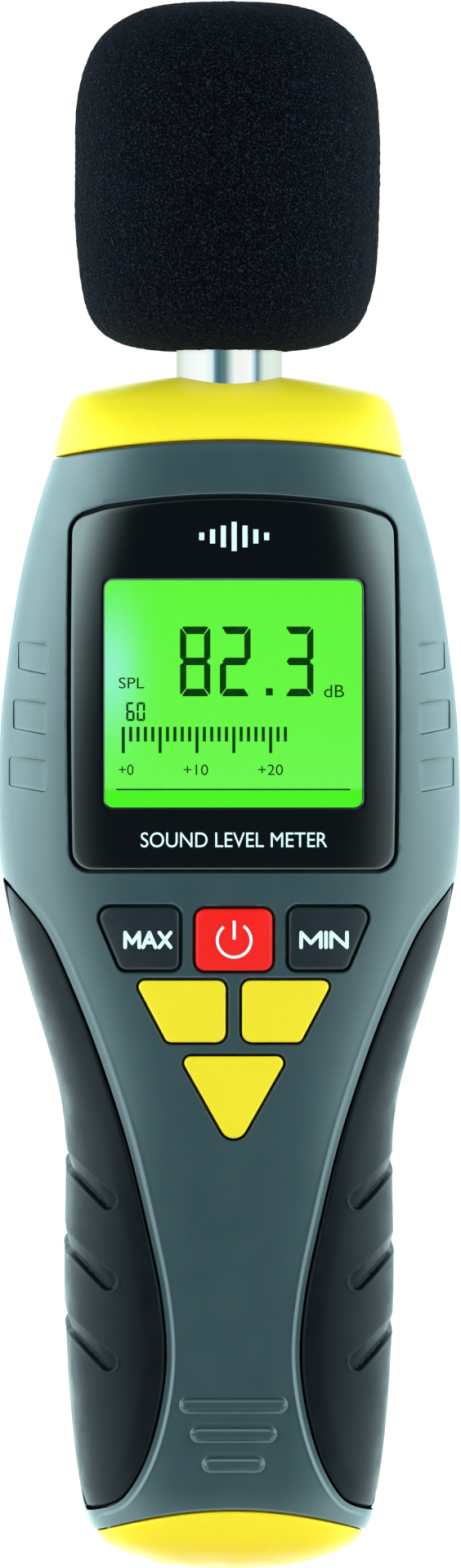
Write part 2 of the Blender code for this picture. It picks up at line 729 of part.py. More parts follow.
# ------------------------------------------------------------------ keys
def make_key(key):
    """A key top that follows the body, with a flange and a round post behind it."""
    x, z = key_centre(key)
    ob = prism_y(key_outline(key), -FAR, KEY_FLANGE_Y[0] + 0.2)
    intersect(ob, body(-KEY_PROUD, levels_between(30, 130)))
    join(ob, prism_y(key_outline(key, KEY_FLANGE), *KEY_FLANGE_Y))
    join(ob, cyl_y(x, z, 1.6, KEY_FLANGE_Y[1] - 0.2, KEY_POST_Y, 10))
    finish(ob, key, KEYS[key][2], angle=40)
    set_origin(ob, x, KEY_FLANGE_Y[0], z)


def make_membrane():
    right = [(9.5, 53.0), (12.4, 65.5), (12.4, 72.0), (14.6, 75.0), (14.6, 80.4)]
    membrane = prism_y(symmetric(right), -8.7, -7.9)
    for key in KEYS:
        join(membrane, cyl_y(*key_centre(key), 2.2, -9.4, -8.3, 10))
    finish(membrane, "keypad_membrane", SILICONE)


# ------------------------------------------------------------------ board and its parts
def make_board():
    right = [(11.4, 52.0), (13.2, 65.0), (13.2, 71.5), (19.0, 78.5), (19.0, 119.0),
             (18.3, 126.3)]
    board = prism_y(symmetric(right), *BOARD_Y)
    for x, z in BOARD_SCREWS:
        cut(board, cyl_y(x, z, 1.15, -10, 0, 12))
    finish(board, "main_board", BOARD)


def make_chips():
    controller = box(x=(-6.0, 6.0), y=(PART_FOOT_Y, -4.3), z=(96.0, 108.0))
    finish(controller, "controller_chip", CHIP)
    amplifier = box(x=(5.0, 10.0), y=(PART_FOOT_Y, -4.5), z=(113.0, 117.0))
    finish(amplifier, "amplifier_chip", CHIP)
    can = prism_y(rounded(rect(-13.0, -8.6, 99.5, 104.0), 1.0), PART_FOOT_Y, -3.4)
    finish(can, "crystal_can", STEEL)


def make_trimmer():
    def around_centre(half_x, half_z, y):
        return box(x=(TRIMMER_X - half_x, TRIMMER_X + half_x), y=y,
                   z=(TRIMMER_Z - half_z, TRIMMER_Z + half_z))

    housing = around_centre(3.0, 3.0, y=(PART_FOOT_Y, -2.2))
    cut(housing, cyl_y(TRIMMER_X, TRIMMER_Z, 1.75, -3.6, 2, 16))
    finish(housing, "trimmer_body", BLUE)
    rotor = cyl_y(TRIMMER_X, TRIMMER_Z, 1.6, -3.5, -2.0, 16)
    cut(rotor, around_centre(1.2, 0.25, y=(-2.6, 0)))
    finish(rotor, "trimmer_rotor", BRASS)


# ------------------------------------------------------------------ screws
def make_screw(name, x, z, head_y, head_h, head_r, shaft_r, tip_y):
    """Cross-head screw whose head faces +Y."""
    ob = lathe_z([
        (0.0, tip_y), (shaft_r * 0.5, tip_y), (shaft_r, tip_y + shaft_r), (shaft_r, head_y),
        (head_r, head_y), (head_r, head_y + head_h * 0.55),
        (head_r * 0.72, head_y + head_h), (0.0, head_y + head_h)], 10)
    for vert in ob.data.vertices:
        vert.co = Vector((vert.co.x, vert.co.z, -vert.co.y)) + Vector((x, 0, z)) * MM
    arm, half_slot = head_r * 0.62, 0.28
    slot_y = (head_y + head_h * 0.45, head_y + 5)
    cross = box(x=(x - arm, x + arm), y=slot_y, z=(z - half_slot, z + half_slot))
    join(cross, box(x=(x - half_slot, x + half_slot), y=slot_y, z=(z - arm, z + arm)))
    cut(ob, cross)
    finish(ob, name, ZINC, angle=35)


def make_screws():
    for i, (x, z) in enumerate(CASE_SCREWS, 1):
        make_screw(f"case_screw_{i}", x, z, head_y=12.55, head_h=1.7, head_r=2.4,
                   shaft_r=1.15, tip_y=-6.0)
    for i, (x, z) in enumerate(BOARD_SCREWS, 1):
        make_screw(f"board_screw_{i}", x, z, head_y=-5.95, head_h=1.2, head_r=1.8,
                   shaft_r=0.85, tip_y=-9.6)


# ------------------------------------------------------------------ microphone and foam ball
# Lathe profiles are (radius, height).
def make_stem():
    bore, foot_r, foot_top, chamfer = 5.5, 8.4, STEM_Z[0] + 1.6, 0.4
    tube = lathe_z([
        (bore, STEM_Z[0]), (foot_r, STEM_Z[0]), (foot_r, foot_top), (STEM_R, foot_top),
        (STEM_R, STEM_Z[1] - chamfer), (STEM_R - chamfer, STEM_Z[1]), (bore, STEM_Z[1])], 28)
    finish(tube, "microphone_tube", STEEL)
    nut = cyl_z(0, 0, 9.0, 134.4, 137.0, 6)
    cut(nut, cyl_z(0, 0, STEM_R + GLUE, 120, 150, 28))
    finish(nut, "tube_nut", BRASS)


def make_grid():
    """The perforated cap on the tube: six holes around a middle one."""
    bore, base, ceiling, top = 4.7, STEM_Z[1] + GLUE, 169.6, 170.4
    grid = lathe_z([(bore, base), (STEM_R, base), (STEM_R, 169.7), (STEM_R - 0.6, top),
                    (0.0, top), (0.0, ceiling), (bore, ceiling)], 20)
    drill_z = (165, 175)
    pitch_r = 3.2
    for k in range(6):
        angle = pi * k / 3 + pi / 6
        cut(grid, cyl_z(pitch_r * cos(angle), pitch_r * sin(angle), 0.7, *drill_z, 6))
    cut(grid, cyl_z(0, 0, 0.9, *drill_z, 8))
    finish(grid, "microphone_grid", STEEL)


def make_capsule():
    capsule = lathe_z([(0.0, 160.0), (4.6, 160.0), (4.6, 165.6), (4.0, 165.9), (0.0, 165.9)], 20)
    finish(capsule, "microphone_capsule", ZINC)
    bush = lathe_z(rect(4.7, 5.4, 159.4, 165.4)[:1] + [(5.4, 159.4), (5.4, 165.4),
                                                       (4.7, 165.4)], 20)
    finish(bush, "microphone_bush", RUBBER)
    cable = tube_path(through([
        (0, 0, 159.7), (0, 0, 150), (0, 0, 140), (0, 0, 132), (0, -2.2, 127.0),
        (0, -4.4, 122.5), (0, -4.9, 118.5)]), 0.9)
    finish(cable, "microphone_cable", LEAD_BLACK)


def make_windscreen():
    foam = lathe_z([
        (SCREEN_BORE_R, SCREEN_BORE_TOP), (SCREEN_BORE_R, 146.9), (8.5, SCREEN_BASE),
        (12.0, 147.4), (14.5, 148.6), (16.7, 151.4), (17.85, 155.6), (18.4, 163.0),
        (18.45, 170.0), (18.2, 176.6), (17.2, 181.0), (15.3, 184.5), (12.3, 186.9),
        (7.6, 188.4), (0.0, 188.85), (0.0, SCREEN_BORE_TOP)], 28)
    finish(foam, "windscreen", FOAM, angle=60)
    set_origin(foam, 0, 0, SCREEN_BASE)


# ------------------------------------------------------------------ battery side
def make_door():
    """The battery door, with four grooves across its upper part."""
    door = intersect(body(), prism_y(door_outline(), DOOR_FACE_Y, FAR))
    groove_pitch, groove_height = 1.7, 0.7
    for k in range(4):
        z = 52.0 + k * groove_pitch
        cut(door, box(x=(-5.0, 5.0), y=(15.15, FAR), z=(z, z + groove_height)))
    finish(door, "battery_door", GREY)
    set_origin(door, 0, BACK_FLAT, 37.0)


def make_battery():
    pad = box(x=(-8, 8), y=(13.45, 13.75), z=(22, 44))
    finish(pad, "battery_pad", FOAM)
    cell = prism_z(rounded(rect(-13.1, 13.1, -4.1, 13.1), 1.8), 12.6, 59.0)
    finish(cell, "battery_9v", CELL)
    positive = cyl_z(-TERMINAL_X, TERMINAL_Y, 2.8, *TERMINAL_Z, 16)
    finish(positive, "battery_terminal_positive", ZINC)
    negative = cyl_z(TERMINAL_X, TERMINAL_Y, 3.9, *TERMINAL_Z, 6)
    finish(negative, "battery_terminal_negative", ZINC)
    snap = prism_z(rounded(rect(-12.4, 12.4, -1.0, 10.0), 3.0), TERMINAL_Z[1] + GLUE, 62.4)
    finish(snap, "battery_snap", RUBBER)


def make_leads():
    # (y, z) from the snap up and forward to the board
    route = [(6.0, 62.45), (6.0, 64.5), (6.0, 67.0), (4.0, 70.5), (-1.0, 73.0), (-5.1, 76.0)]
    for i, side, mat in ((1, -1, LEAD_RED), (2, 1, LEAD_BLACK)):
        lead = tube_path(through([(LEAD_X + side, y, z) for y, z in route]), 0.65, 6)
        finish(lead, f"battery_lead_{i}", mat)


def make_tripod_insert():
    insert = cyl_y(0, TRIPOD_Z, 5.0, 6.6, 15.3, 24)
    cut(insert, cyl_y(0, TRIPOD_Z, 2.9, 7.6, FAR, 20))
    finish(insert, "tripod_insert", BRASS)


def make_label():
    outline = rounded(rect(-LABEL_HALF, LABEL_HALF, *LABEL_Z), LABEL_CORNER)
    finish(prism_y(outline, 15.25, 15.5), "rear_label", LABEL)


# ------------------------------------------------------------------ build
make_top_cap()
make_bottom_cap()
barrel = make_barrel()
make_front_cover(link_object("part", barrel.data.copy()))
make_rear_cover(barrel)
make_grip("left_grip", -1)
make_grip("right_grip", 1)

make_bezel()
make_display_stack()
for key_name in KEYS:
    make_key(key_name)
make_membrane()
make_board()
make_chips()
make_trimmer()
make_screws()

make_stem()
make_grid()
make_capsule()
make_windscreen()

make_door()
make_battery()
make_leads()
make_tripod_insert()
make_label()
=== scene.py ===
"""Looks of a handheld sound level meter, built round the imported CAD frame.

The meter stands upright on z = 0 with its display facing -y; +x is on the right
as seen from the front. Sizes are in millimetres, turned into metres when a mesh is made;
materials, lights and camera are in metres.
"""
from bisect import bisect_left
from functools import cached_property
from math import atan2, ceil, cos, pi, radians, sin, tan

import bmesh
import bpy
import numpy as np
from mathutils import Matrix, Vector


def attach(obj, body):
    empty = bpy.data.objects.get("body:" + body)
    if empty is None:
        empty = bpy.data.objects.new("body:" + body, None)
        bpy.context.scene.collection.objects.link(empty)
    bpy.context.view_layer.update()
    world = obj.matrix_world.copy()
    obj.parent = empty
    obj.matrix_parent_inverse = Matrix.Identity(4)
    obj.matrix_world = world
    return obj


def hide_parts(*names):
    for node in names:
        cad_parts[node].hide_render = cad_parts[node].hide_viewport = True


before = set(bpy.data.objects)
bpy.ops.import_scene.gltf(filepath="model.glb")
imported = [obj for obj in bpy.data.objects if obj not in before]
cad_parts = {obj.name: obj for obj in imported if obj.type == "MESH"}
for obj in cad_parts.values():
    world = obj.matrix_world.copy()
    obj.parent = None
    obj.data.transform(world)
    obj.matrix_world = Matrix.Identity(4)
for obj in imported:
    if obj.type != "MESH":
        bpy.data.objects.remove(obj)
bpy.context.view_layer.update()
MM = 0.001

# ============================================================ driving dimensions
# Stations of the body: (height z, half width or depth from the y = 0 plane).
HALF_WIDTH = [
    (0.0, 3.6), (0.5, 8.0), (1.1, 10.3), (2.3, 13.5), (3.5, 15.4), (5.9, 17.0), (10.0, 17.9),
    (16.0, 18.7), (25.0, 19.4), (36.0, 19.8), (50.0, 19.6), (55.0, 19.95), (61.0, 21.25),
    (70.0, 24.0), (78.5, 26.35), (85.0, 27.5), (91.0, 27.8), (100.0, 27.6), (110.0, 26.6),
    (120.0, 25.0), (127.7, 23.1), (134.0, 21.1), (137.5, 20.3), (139.5, 19.7), (140.8, 18.9),
    (141.5, 17.8), (142.3, 14.6), (143.1, 10.0), (143.7, 5.6)]
FRONT_DEPTH = [
    (0.0, 3.0), (0.5, 5.6), (1.1, 7.4), (2.3, 9.6), (3.5, 10.8), (5.9, 12.0), (10.0, 12.9),
    (16.0, 13.3), (28.0, 13.6), (45.0, 13.9), (60.0, 14.3), (72.0, 14.8), (84.0, 15.3),
    (100.0, 15.5), (120.0, 15.5), (134.0, 15.1), (137.0, 14.3), (138.9, 13.0), (140.3, 11.2),
    (141.5, 9.2), (142.3, 7.4), (143.1, 5.1), (143.7, 2.6)]
BACK_DEPTH = [
    (0.0, 3.0), (0.5, 5.8), (1.1, 7.8), (2.3, 10.4), (3.5, 12.0), (5.9, 14.0), (10.0, 16.0),
    (14.0, 16.6), (130.0, 16.6), (134.0, 16.2), (137.0, 15.2), (138.9, 13.6), (140.3, 11.6),
    (141.5, 9.2), (142.3, 7.4), (143.1, 5.1), (143.7, 2.6)]
BACK_FLAT = 15.6                 # the back is planed off at this y
BACK_BLEND = 0.5                 # softness of that edge
FRONT_POWER, BACK_POWER = 3, 4   # superellipse exponents of the two section halves

# Cap seams: (z at the sides, z in the middle, half width of the arch)
TOP_SEAM = (133.9, 135.8, 21.0)
BOTTOM_SEAM = (4.4, 7.15, 16.6)
SEAM_GAP = 0.16                  # each part stops this far from the seam line

# Inner edge of the right grip in the front view, from the top down: (x, z)
GRIP_EDGE = [(27.7, 83.5), (25.9, 81.3), (22.5, 76.8), (19.2, 69.6), (15.9, 61.0), (12.8, 51.3),
             (10.2, 40.5), (8.7, 33.0), (8.1, 26.0), (8.8, 19.5), (10.6, 13.2), (13.3, 8.7),
             (16.4, 7.33), (18.6, 7.33)]
GRIP_TOP, GRIP_BOTTOM = 83.55, 7.33
REAR_DROP = 0.42                 # the grip reaches lower by this much at the rear
REAR_REACH = 3.0                 # its rear edge lies this far inside the half width
COVER_GAP = 0.16                 # covers clear the grip edge by this much
GRIP_GAP = 0.14                  # and the rubber draws back by this much

FRONT_CLEAR, BACK_CLEAR = -24, 24   # y outside the body, where recess cutters end
SIDE_CLEAR = 33.0                # x outside the body, where grip cutters end

LCD_Y = -11.3                    # front face of the display panel


# ============================================================ body surface
def sample_stations(table, heights):
    """Cubic through the stations, without overshoot."""
    stations = [z for z, _ in table]
    values = [v for _, v in table]
    count = len(table)
    spans = [stations[i + 1] - stations[i] for i in range(count - 1)]
    rises = [(values[i + 1] - values[i]) / spans[i] for i in range(count - 1)]
    slopes = [rises[0]]
    for before, after in zip(rises[:-1], rises[1:]):
        turning = before * after <= 0
        slopes.append(0.0 if turning else 2.0 * before * after / (before + after))
    slopes.append(rises[-1])

    def value_at(z):
        if z <= stations[0]:
            return values[0]
        if z >= stations[-1]:
            return values[-1]
        i = bisect_left(stations, z) - 1
        span = spans[i]
        t = (z - stations[i]) / span
        return (values[i] * (2 * t ** 3 - 3 * t ** 2 + 1)
                + slopes[i] * span * (t ** 3 - 2 * t ** 2 + t)
                + values[i + 1] * (-2 * t ** 3 + 3 * t ** 2)
                + slopes[i + 1] * span * (t ** 3 - t ** 2))

    return np.array([value_at(z) for z in heights])


HEIGHTS = np.concatenate([np.arange(0, 6, 0.02), np.arange(6, 136, 0.1),
                          np.arange(136, 143.72, 0.02)])


def smooth_stations(table, low=8.0, high=134.0, fade=4.0):
    """Sample the stations and ease their joints in the long middle part."""
    raw = sample_stations(table, HEIGHTS)
    even = np.arange(0, 143.8, 0.1)
    values = np.interp(even, HEIGHTS, raw)
    kernel = np.hanning(61)
    kernel /= kernel.sum()
    eased = np.convolve(np.pad(values, 30, mode="edge"), kernel, mode="valid")
    weight = np.clip((even - low) / fade, 0, 1) * np.clip((high - even) / fade, 0, 1)
    mixed = values * (1 - weight) + eased * weight
    middle = (HEIGHTS > low) & (HEIGHTS < high)
    return np.where(middle, np.interp(HEIGHTS, even, mixed), raw)


WIDTHS, FRONTS, BACKS = (smooth_stations(t) for t in (HALF_WIDTH, FRONT_DEPTH, BACK_DEPTH))


def half_width(z):
    return np.interp(z, HEIGHTS, WIDTHS)


def front_depth(z):
    return np.interp(z, HEIGHTS, FRONTS)


def back_depth(z):
    return np.interp(z, HEIGHTS, BACKS)


def plane_back(y):
    """Limit the rear depth softly to the flat back."""
    h = np.clip(0.5 + 0.5 * (BACK_FLAT - y) / BACK_BLEND, 0, 1)
    return BACK_FLAT * (1 - h) + y * h - BACK_BLEND * h * (1 - h)


def front_surface(x, z, lift=0.0):
    """y of the front surface; lift moves it outwards."""
    x, z = np.asarray(x, float), np.asarray(z, float)
    q = np.clip(np.abs(x) / half_width(z), 0, 1)
    return -front_depth(z) * np.power(1 - q ** FRONT_POWER, 1 / FRONT_POWER) - lift


def back_surface(x, z, lift=0.0):
    """y of the rear surface; lift moves it outwards."""
    q = np.clip(np.abs(np.asarray(x, float)) / half_width(z), 0, 1)
    return plane_back(back_depth(z) * np.power(1 - q ** BACK_POWER, 1 / BACK_POWER)) + lift


def ring_point(z, turn):
    """turn 0..2 runs over the front from left to right, 2..4 back over the rear."""
    z, turn = np.broadcast_arrays(np.asarray(z, float), np.asarray(turn, float))
    front = turn <= 2
    u = np.where(front, turn - 1, 3 - turn)
    inward = 1 - np.clip(np.abs(u), 0, 1)
    q_front = 1 - inward ** FRONT_POWER
    q_back = 1 - inward ** BACK_POWER
    y_front = -front_depth(z) * np.power(1 - q_front ** FRONT_POWER, 1 / FRONT_POWER)
    y_back = plane_back(back_depth(z) * np.power(1 - q_back ** BACK_POWER, 1 / BACK_POWER))
    x = half_width(z) * np.sign(u) * np.where(front, q_front, q_back)
    return np.stack([x, np.where(front, y_front, y_back), z], -1)


def turn_from_middle(x, z, power):
    """How far from the middle of the front or rear the ring reaches |x|."""
    q = np.clip(np.abs(x) / half_width(z), 0, 1)
    return 1 - (1 - q) ** (1 / power)


def running_length(points):
    steps = np.linalg.norm(np.diff(points, axis=0), axis=1)
    return np.concatenate([[0], np.cumsum(steps)])


def even_turns(z, start, end, count):
    """Ring turns from start to end, evenly spaced along the section."""
    dense = np.linspace(start, end, 700)
    length = running_length(ring_point(z, dense))
    return np.interp(np.linspace(0, length[-1], count), length, dense)


def curve_through(points, steps):
    """Catmull-Rom curve through the points."""
    out = []
    p = [points[0]] + list(points) + [points[-1]]
    for i in range(1, len(p) - 2):
        for s in range(steps):
            t = s / steps
            out.append(tuple(
                0.5 * (2 * b + (c - a) * t + (2 * a - 5 * b + 4 * c - d) * t * t
                       + (3 * b - a - 3 * c + d) * t ** 3)
                for a, b, c, d in zip(p[i - 1], p[i], p[i + 1], p[i + 2])))
    out.append(tuple(points[-1]))
    return out


EDGE = np.array(curve_through(GRIP_EDGE, 8))
# a tiny slope keeps the heights increasing along the level bottom end
EDGE_Z = EDGE[::-1, 1] + np.linspace(0, 1e-6, len(EDGE))
EDGE_X = EDGE[::-1, 0]


def grip_edge_x(z):
    return np.interp(z, EDGE_Z, EDGE_X)


def offset_edge(distance):
    """The grip's inner edge, moved towards the middle of the body for a positive distance."""
    tangent = np.gradient(EDGE, axis=0)
    tangent /= np.maximum(np.linalg.norm(tangent, axis=1, keepdims=True), 1e-9)
    return EDGE + np.stack([tangent[:, 1], -tangent[:, 0]], -1) * distance


def edge_distance(x, z):
    """Distance in the front view from (|x|, z) to the grip's inner edge."""
    points = np.stack([np.abs(x), z], -1)
    best = np.full(points.shape[:-1], 1e9)
    for a, b in zip(EDGE[:-1], EDGE[1:]):
        run = b - a
        t = np.clip(((points - a) @ run) / float(run @ run), 0, 1)
        best = np.minimum(best, np.linalg.norm(points - (a + t[..., None] * run), axis=-1))
    return best


def seam_z(x, seam):
    side, middle, half = seam
    return side + (middle - side) * np.maximum(0.0, 1 - (x / half) ** 2)


def seam_distance(x, z, seam, direction):
    """Height from a part's border at the seam; direction 1 is above it, -1 below."""
    return direction * (z - (seam_z(x, seam) + direction * SEAM_GAP))


def smooth_step(t):
    t = np.clip(t, 0, 1)
    return t * t * (3 - 2 * t)


def round_over(distance, reach):
    """Quarter-round drop: 1 at a border, 0 from the reach inwards."""
    t = np.clip(1 - distance / reach, 0, 1)
    return 1 - np.sqrt(np.maximum(0, 1 - t * t))


# ============================================================ outlines (x, z)
def rectangle(x0, x1, z0, z1):
    return [(x0, z0), (x1, z0), (x1, z1), (x0, z1)]


def disc(x, z, radius, count=40):
    a = np.linspace(0, 2 * pi, count, endpoint=False)
    return np.stack([x + radius * np.cos(a), z + radius * np.sin(a)], -1)


def shrink(points, centre, factor):
    return centre + (points - centre) * factor


def rounded(points, radii, segments):
    """Polygon with an arc at each corner; nearly straight corners stay single points."""
    count = len(points)
    out = []
    for i in range(count):
        p, a, b = Vector(points[i]), Vector(points[i - 1]), Vector(points[(i + 1) % count])
        u, v = (a - p).normalized(), (b - p).normalized()
        half = u.angle(v) / 2
        if half > 1.5:
            out.append(tuple(p))
            continue
        radius = max(radii[i], 0.02)
        reach = radius / tan(half)
        c = p + (u + v).normalized() * (radius / sin(half))
        a0 = atan2(*(p + u * reach - c).yx)
        a1 = atan2(*(p + v * reach - c).yx)
        sweep = (a1 - a0 + pi) % (2 * pi) - pi
        for k in range(segments + 1):
            t = a0 + sweep * k / segments
            out.append((c.x + radius * cos(t), c.y + radius * sin(t)))
    return out


def winding(p):
    """1 for a closed outline that runs anticlockwise, -1 for clockwise."""
    p = np.asarray(p)
    area = np.sum(p[:, 0] * np.roll(p[:, 1], -1) - np.roll(p[:, 0], -1) * p[:, 1])
    return 1 if area > 0 else -1


def grow(points, distance):
    """Move every side of a polygon outwards."""
    count = len(points)
    side = winding(points)
    lines = []
    for i in range(count):
        p, q = Vector(points[i]), Vector(points[(i + 1) % count])
        t = (q - p).normalized()
        lines.append((p + Vector((t.y, -t.x)) * side * distance, t))
    out = []
    for i in range(count):
        (p, t), (q, u) = lines[i - 1], lines[i]
        k = ((q - p).x * u.y - (q - p).y * u.x) / (t.x * u.y - t.y * u.x)
        out.append(tuple(p + t * k))
    return out


class Outline:
    """A rounded convex polygon that can be offset while keeping its point count."""

    def __init__(self, corners, radii, segments=8, step=0.5):
        self.corners, self.segments = corners, segments
        self.radii = radii if isinstance(radii, list) else [radii] * len(corners)
        base = np.array(self.sparse(0.0))
        lengths = np.linalg.norm(np.roll(base, -1, 0) - base, axis=1)
        self.splits = [max(1, int(np.ceil(length / step))) for length in lengths]

    def sparse(self, offset):
        corners = grow(self.corners, offset) if offset else self.corners
        return rounded(corners, [r + offset for r in self.radii], self.segments)

    def at(self, offset):
        base = np.array(self.sparse(offset))
        out = []
        for a, b, split in zip(base, np.roll(base, -1, 0), self.splits):
            out += [a + (b - a) * k / split for k in range(split)]
        return np.array(out)


class SmoothOutline:
    """A closed outline, softened, resampled closer on bends and offset along its normals."""

    SAMPLE = 0.02                # spacing of the dense working curve
    STEP, FINE_STEP = 0.4, 0.12  # widest spacing, and the finest that bends add

    def __init__(self, points):
        p = np.array(points, float)
        q = np.vstack([p, p[:1]])
        length = running_length(q)
        t = np.linspace(0, length[-1], int(length[-1] / self.SAMPLE), endpoint=False)
        curve = np.stack([np.interp(t, length, q[:, i]) for i in (0, 1)], -1)
        kernel = np.hanning(31)
        kernel /= kernel.sum()
        for _ in range(3):
            pad = np.vstack([curve[-15:], curve, curve[:15]])
            curve = np.stack([np.convolve(pad[:, i], kernel, mode="valid") for i in (0, 1)], -1)
        tangent = np.roll(curve, -1, 0) - np.roll(curve, 1, 0)
        bend = np.abs(np.gradient(np.unwrap(np.arctan2(tangent[:, 1], tangent[:, 0]))))
        bend = np.convolve(np.concatenate([bend[-25:], bend, bend[:25]]), np.ones(51) / 51,
                           "valid")
        weight = self.SAMPLE / self.STEP + np.minimum(bend * 4.0, self.SAMPLE / self.FINE_STEP)
        total = np.concatenate([[0], np.cumsum(weight)])
        where = np.interp(np.linspace(0, total[-1], int(total[-1]), endpoint=False),
                          total, np.arange(len(total)))
        tangent = tangent / np.linalg.norm(tangent, axis=1, keepdims=True)

        def pick(values):
            closed = np.vstack([values, values[:1]])
            index = np.arange(len(closed))
            return np.stack([np.interp(where, index, closed[:, i]) for i in (0, 1)], -1)

        self.points = pick(curve)
        tangent = pick(tangent)
        tangent /= np.linalg.norm(tangent, axis=1, keepdims=True)
        self.normals = np.stack([tangent[:, 1], -tangent[:, 0]], -1) * winding(self.points)

    def at(self, offset):
        return self.points + self.normals * offset


def flat_ring(points, y):
    """(x, z) points put at one y."""
    points = np.asarray(points)
    return np.stack([points[:, 0], np.full(len(points), y), points[:, 1]], -1)


def crown_ring(points, lift, surface=front_surface):
    """(x, z) points laid on the crowned surface."""
    return np.stack([points[:, 0], surface(points[:, 0], points[:, 1], lift), points[:, 1]], -1)


def sunk_rings(outline, profile, surface=front_surface):
    """Rings of a recess; profile: (outline offset, depth below the surface)."""
    return [crown_ring(outline.at(offset), -depth, surface) for offset, depth in profile]


def moved_to(ring, y):
    out = ring.copy()
    out[:, 1] = y
    return out


# ============================================================ mesh making
def mesh_object(name, verts, faces, smooth=True, angle=None, fix=True):
    """Object from points in mm; angle marks sharp edges, fix makes the normals point out."""
    me = bpy.data.meshes.new(name)
    me.from_pydata((np.asarray(verts, float) * MM).tolist(), [], faces)
    if fix:
        bm = bmesh.new()
        bm.from_mesh(me)
        bmesh.ops.recalc_face_normals(bm, faces=bm.faces)
        bm.to_mesh(me)
        bm.free()
    ob = bpy.data.objects.new(name, me)
    bpy.context.scene.collection.objects.link(ob)
    if smooth:
        me.shade_smooth()
    if angle:
        me.set_sharp_from_angle(angle=radians(angle))
    return ob


def place(ob, body, slot, material, *stands_for):
    """Give a piece its material and tell the frame which body carries it."""
    ob.data.materials.clear()
    ob.data.materials.append(material)
    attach(ob, body)
    if stands_for:
        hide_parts(*stands_for)


def grid_faces(rows, columns, wrap=False, base=0, flip=False):
    i, j = np.meshgrid(np.arange(rows - 1), np.arange(columns if wrap else columns - 1),
                       indexing="ij")
    j2 = (j + 1) % columns
    corners = [i * columns + j, i * columns + j2, (i + 1) * columns + j2, (i + 1) * columns + j]
    faces = np.stack(corners, -1).reshape(-1, 4) + base
    return (faces[:, ::-1] if flip else faces).tolist()


def grid_normals(grid, wrap=False):
    """Unit normals of a point grid, facing away from the z axis."""
    across = np.roll(grid, -1, 1) - np.roll(grid, 1, 1) if wrap else np.gradient(grid, axis=1)
    normals = np.cross(across, np.gradient(grid, axis=0))
    normals = normals / np.maximum(np.linalg.norm(normals, axis=-1, keepdims=True), 1e-12)
    outward = grid.copy()
    outward[..., 2] = 0
    sign = np.sign((normals * outward).sum(-1, keepdims=True))
    sign[sign == 0] = 1
    return normals * sign


def shell(name, grid, thickness, step=4, angle=38):
    """Closed shell: a dense outer grid, a sparse inner one and rims between them."""
    rows, columns = grid.shape[:2]
    row_marks = np.unique(np.append(np.arange(0, rows, step), rows - 1))
    column_marks = np.unique(np.append(np.arange(0, columns, step), columns - 1))
    lining = (grid - grid_normals(grid) * thickness)[np.ix_(row_marks, column_marks)]
    verts = np.concatenate([grid.reshape(-1, 3), lining.reshape(-1, 3)])
    base = rows * columns
    faces = grid_faces(rows, columns)
    faces += grid_faces(*lining.shape[:2], base=base, flip=True)
    outer = np.arange(base).reshape(rows, columns)
    inner = base + np.arange(len(row_marks) * len(column_marks)).reshape(lining.shape[:2])

    def rim(outer_line, inner_line, marks):
        outer_line, inner_line = outer_line.tolist(), inner_line.tolist()
        for k, (a, b) in enumerate(zip(marks[:-1], marks[1:])):
            faces.append(outer_line[a:b + 1] + [inner_line[k + 1], inner_line[k]])

    for end in (0, -1):
        rim(outer[end], inner[end], column_marks)
    for end in (0, -1):
        rim(outer[:, end], inner[:, end], row_marks)
    return mesh_object(name, verts, faces, angle=angle)


def stack(name, rings, angle=40):
    """Loft of equal rings, closed by n-gons."""
    grid = np.array(rings)
    rows, columns = grid.shape[:2]
    faces = grid_faces(rows, columns, wrap=True)
    faces.append(list(range(columns)))
    faces.append([(rows - 1) * columns + k for k in range(columns)][::-1])
    return mesh_object(name, grid.reshape(-1, 3), faces, angle=angle)


def closed_band(name, grid, angle):
    """Loft of rings whose last ring joins the first."""
    rows, columns = grid.shape[:2]
    faces = grid_faces(rows, columns, wrap=True)
    last = (rows - 1) * columns
    faces += [[last + k, last + (k + 1) % columns, (k + 1) % columns, k]
              for k in range(columns)]
    return mesh_object(name, grid.reshape(-1, 3), faces, angle=angle)


def revolve(profile, count):
    """Point grid of a (radius, z) profile turned about the z axis."""
    profile = np.array(profile, float)
    a = np.linspace(0, 2 * pi, count, endpoint=False)
    radius, z = profile[:, 0:1], profile[:, 1:2]
    return np.stack([radius * np.cos(a), radius * np.sin(a), np.repeat(z, count, 1)], -1)


def cut(ob, tools, angle=38, use_self=False):
    """Subtract the tools and remove them."""
    col = bpy.data.collections.new("tools")
    for tool in tools:
        col.objects.link(tool)
    mod = ob.modifiers.new("cut", "BOOLEAN")
    mod.operation = "DIFFERENCE"
    mod.operand_type = "COLLECTION"
    mod.collection = col
    mod.solver = "EXACT"
    mod.use_self = use_self
    bpy.context.view_layer.update()
    evaluated = ob.evaluated_get(bpy.context.evaluated_depsgraph_get())
    me = bpy.data.meshes.new_from_object(evaluated)
    ob.modifiers.clear()
    ob.data = me
    for tool in tools:
        bpy.data.objects.remove(tool, do_unlink=True)
    bpy.data.collections.remove(col)
    me.shade_smooth()
    me.set_sharp_from_angle(angle=radians(angle))


def prism(points, y0, y1):
    """Cutting tool with one (x, z) section."""
    return stack("tool", [flat_ring(points, y0), flat_ring(points, y1)], angle=None)


def stepped_tool(points_at, profile):
    """Cutting tool with flat rings; profile: (size given to points_at, y)."""
    return stack("tool", [flat_ring(points_at(size), y) for size, y in profile])


def hole_tool(x, z, profile):
    """Round cutting tool along y; profile: (radius, y)."""
    return stepped_tool(lambda radius: disc(x, z, radius), profile)


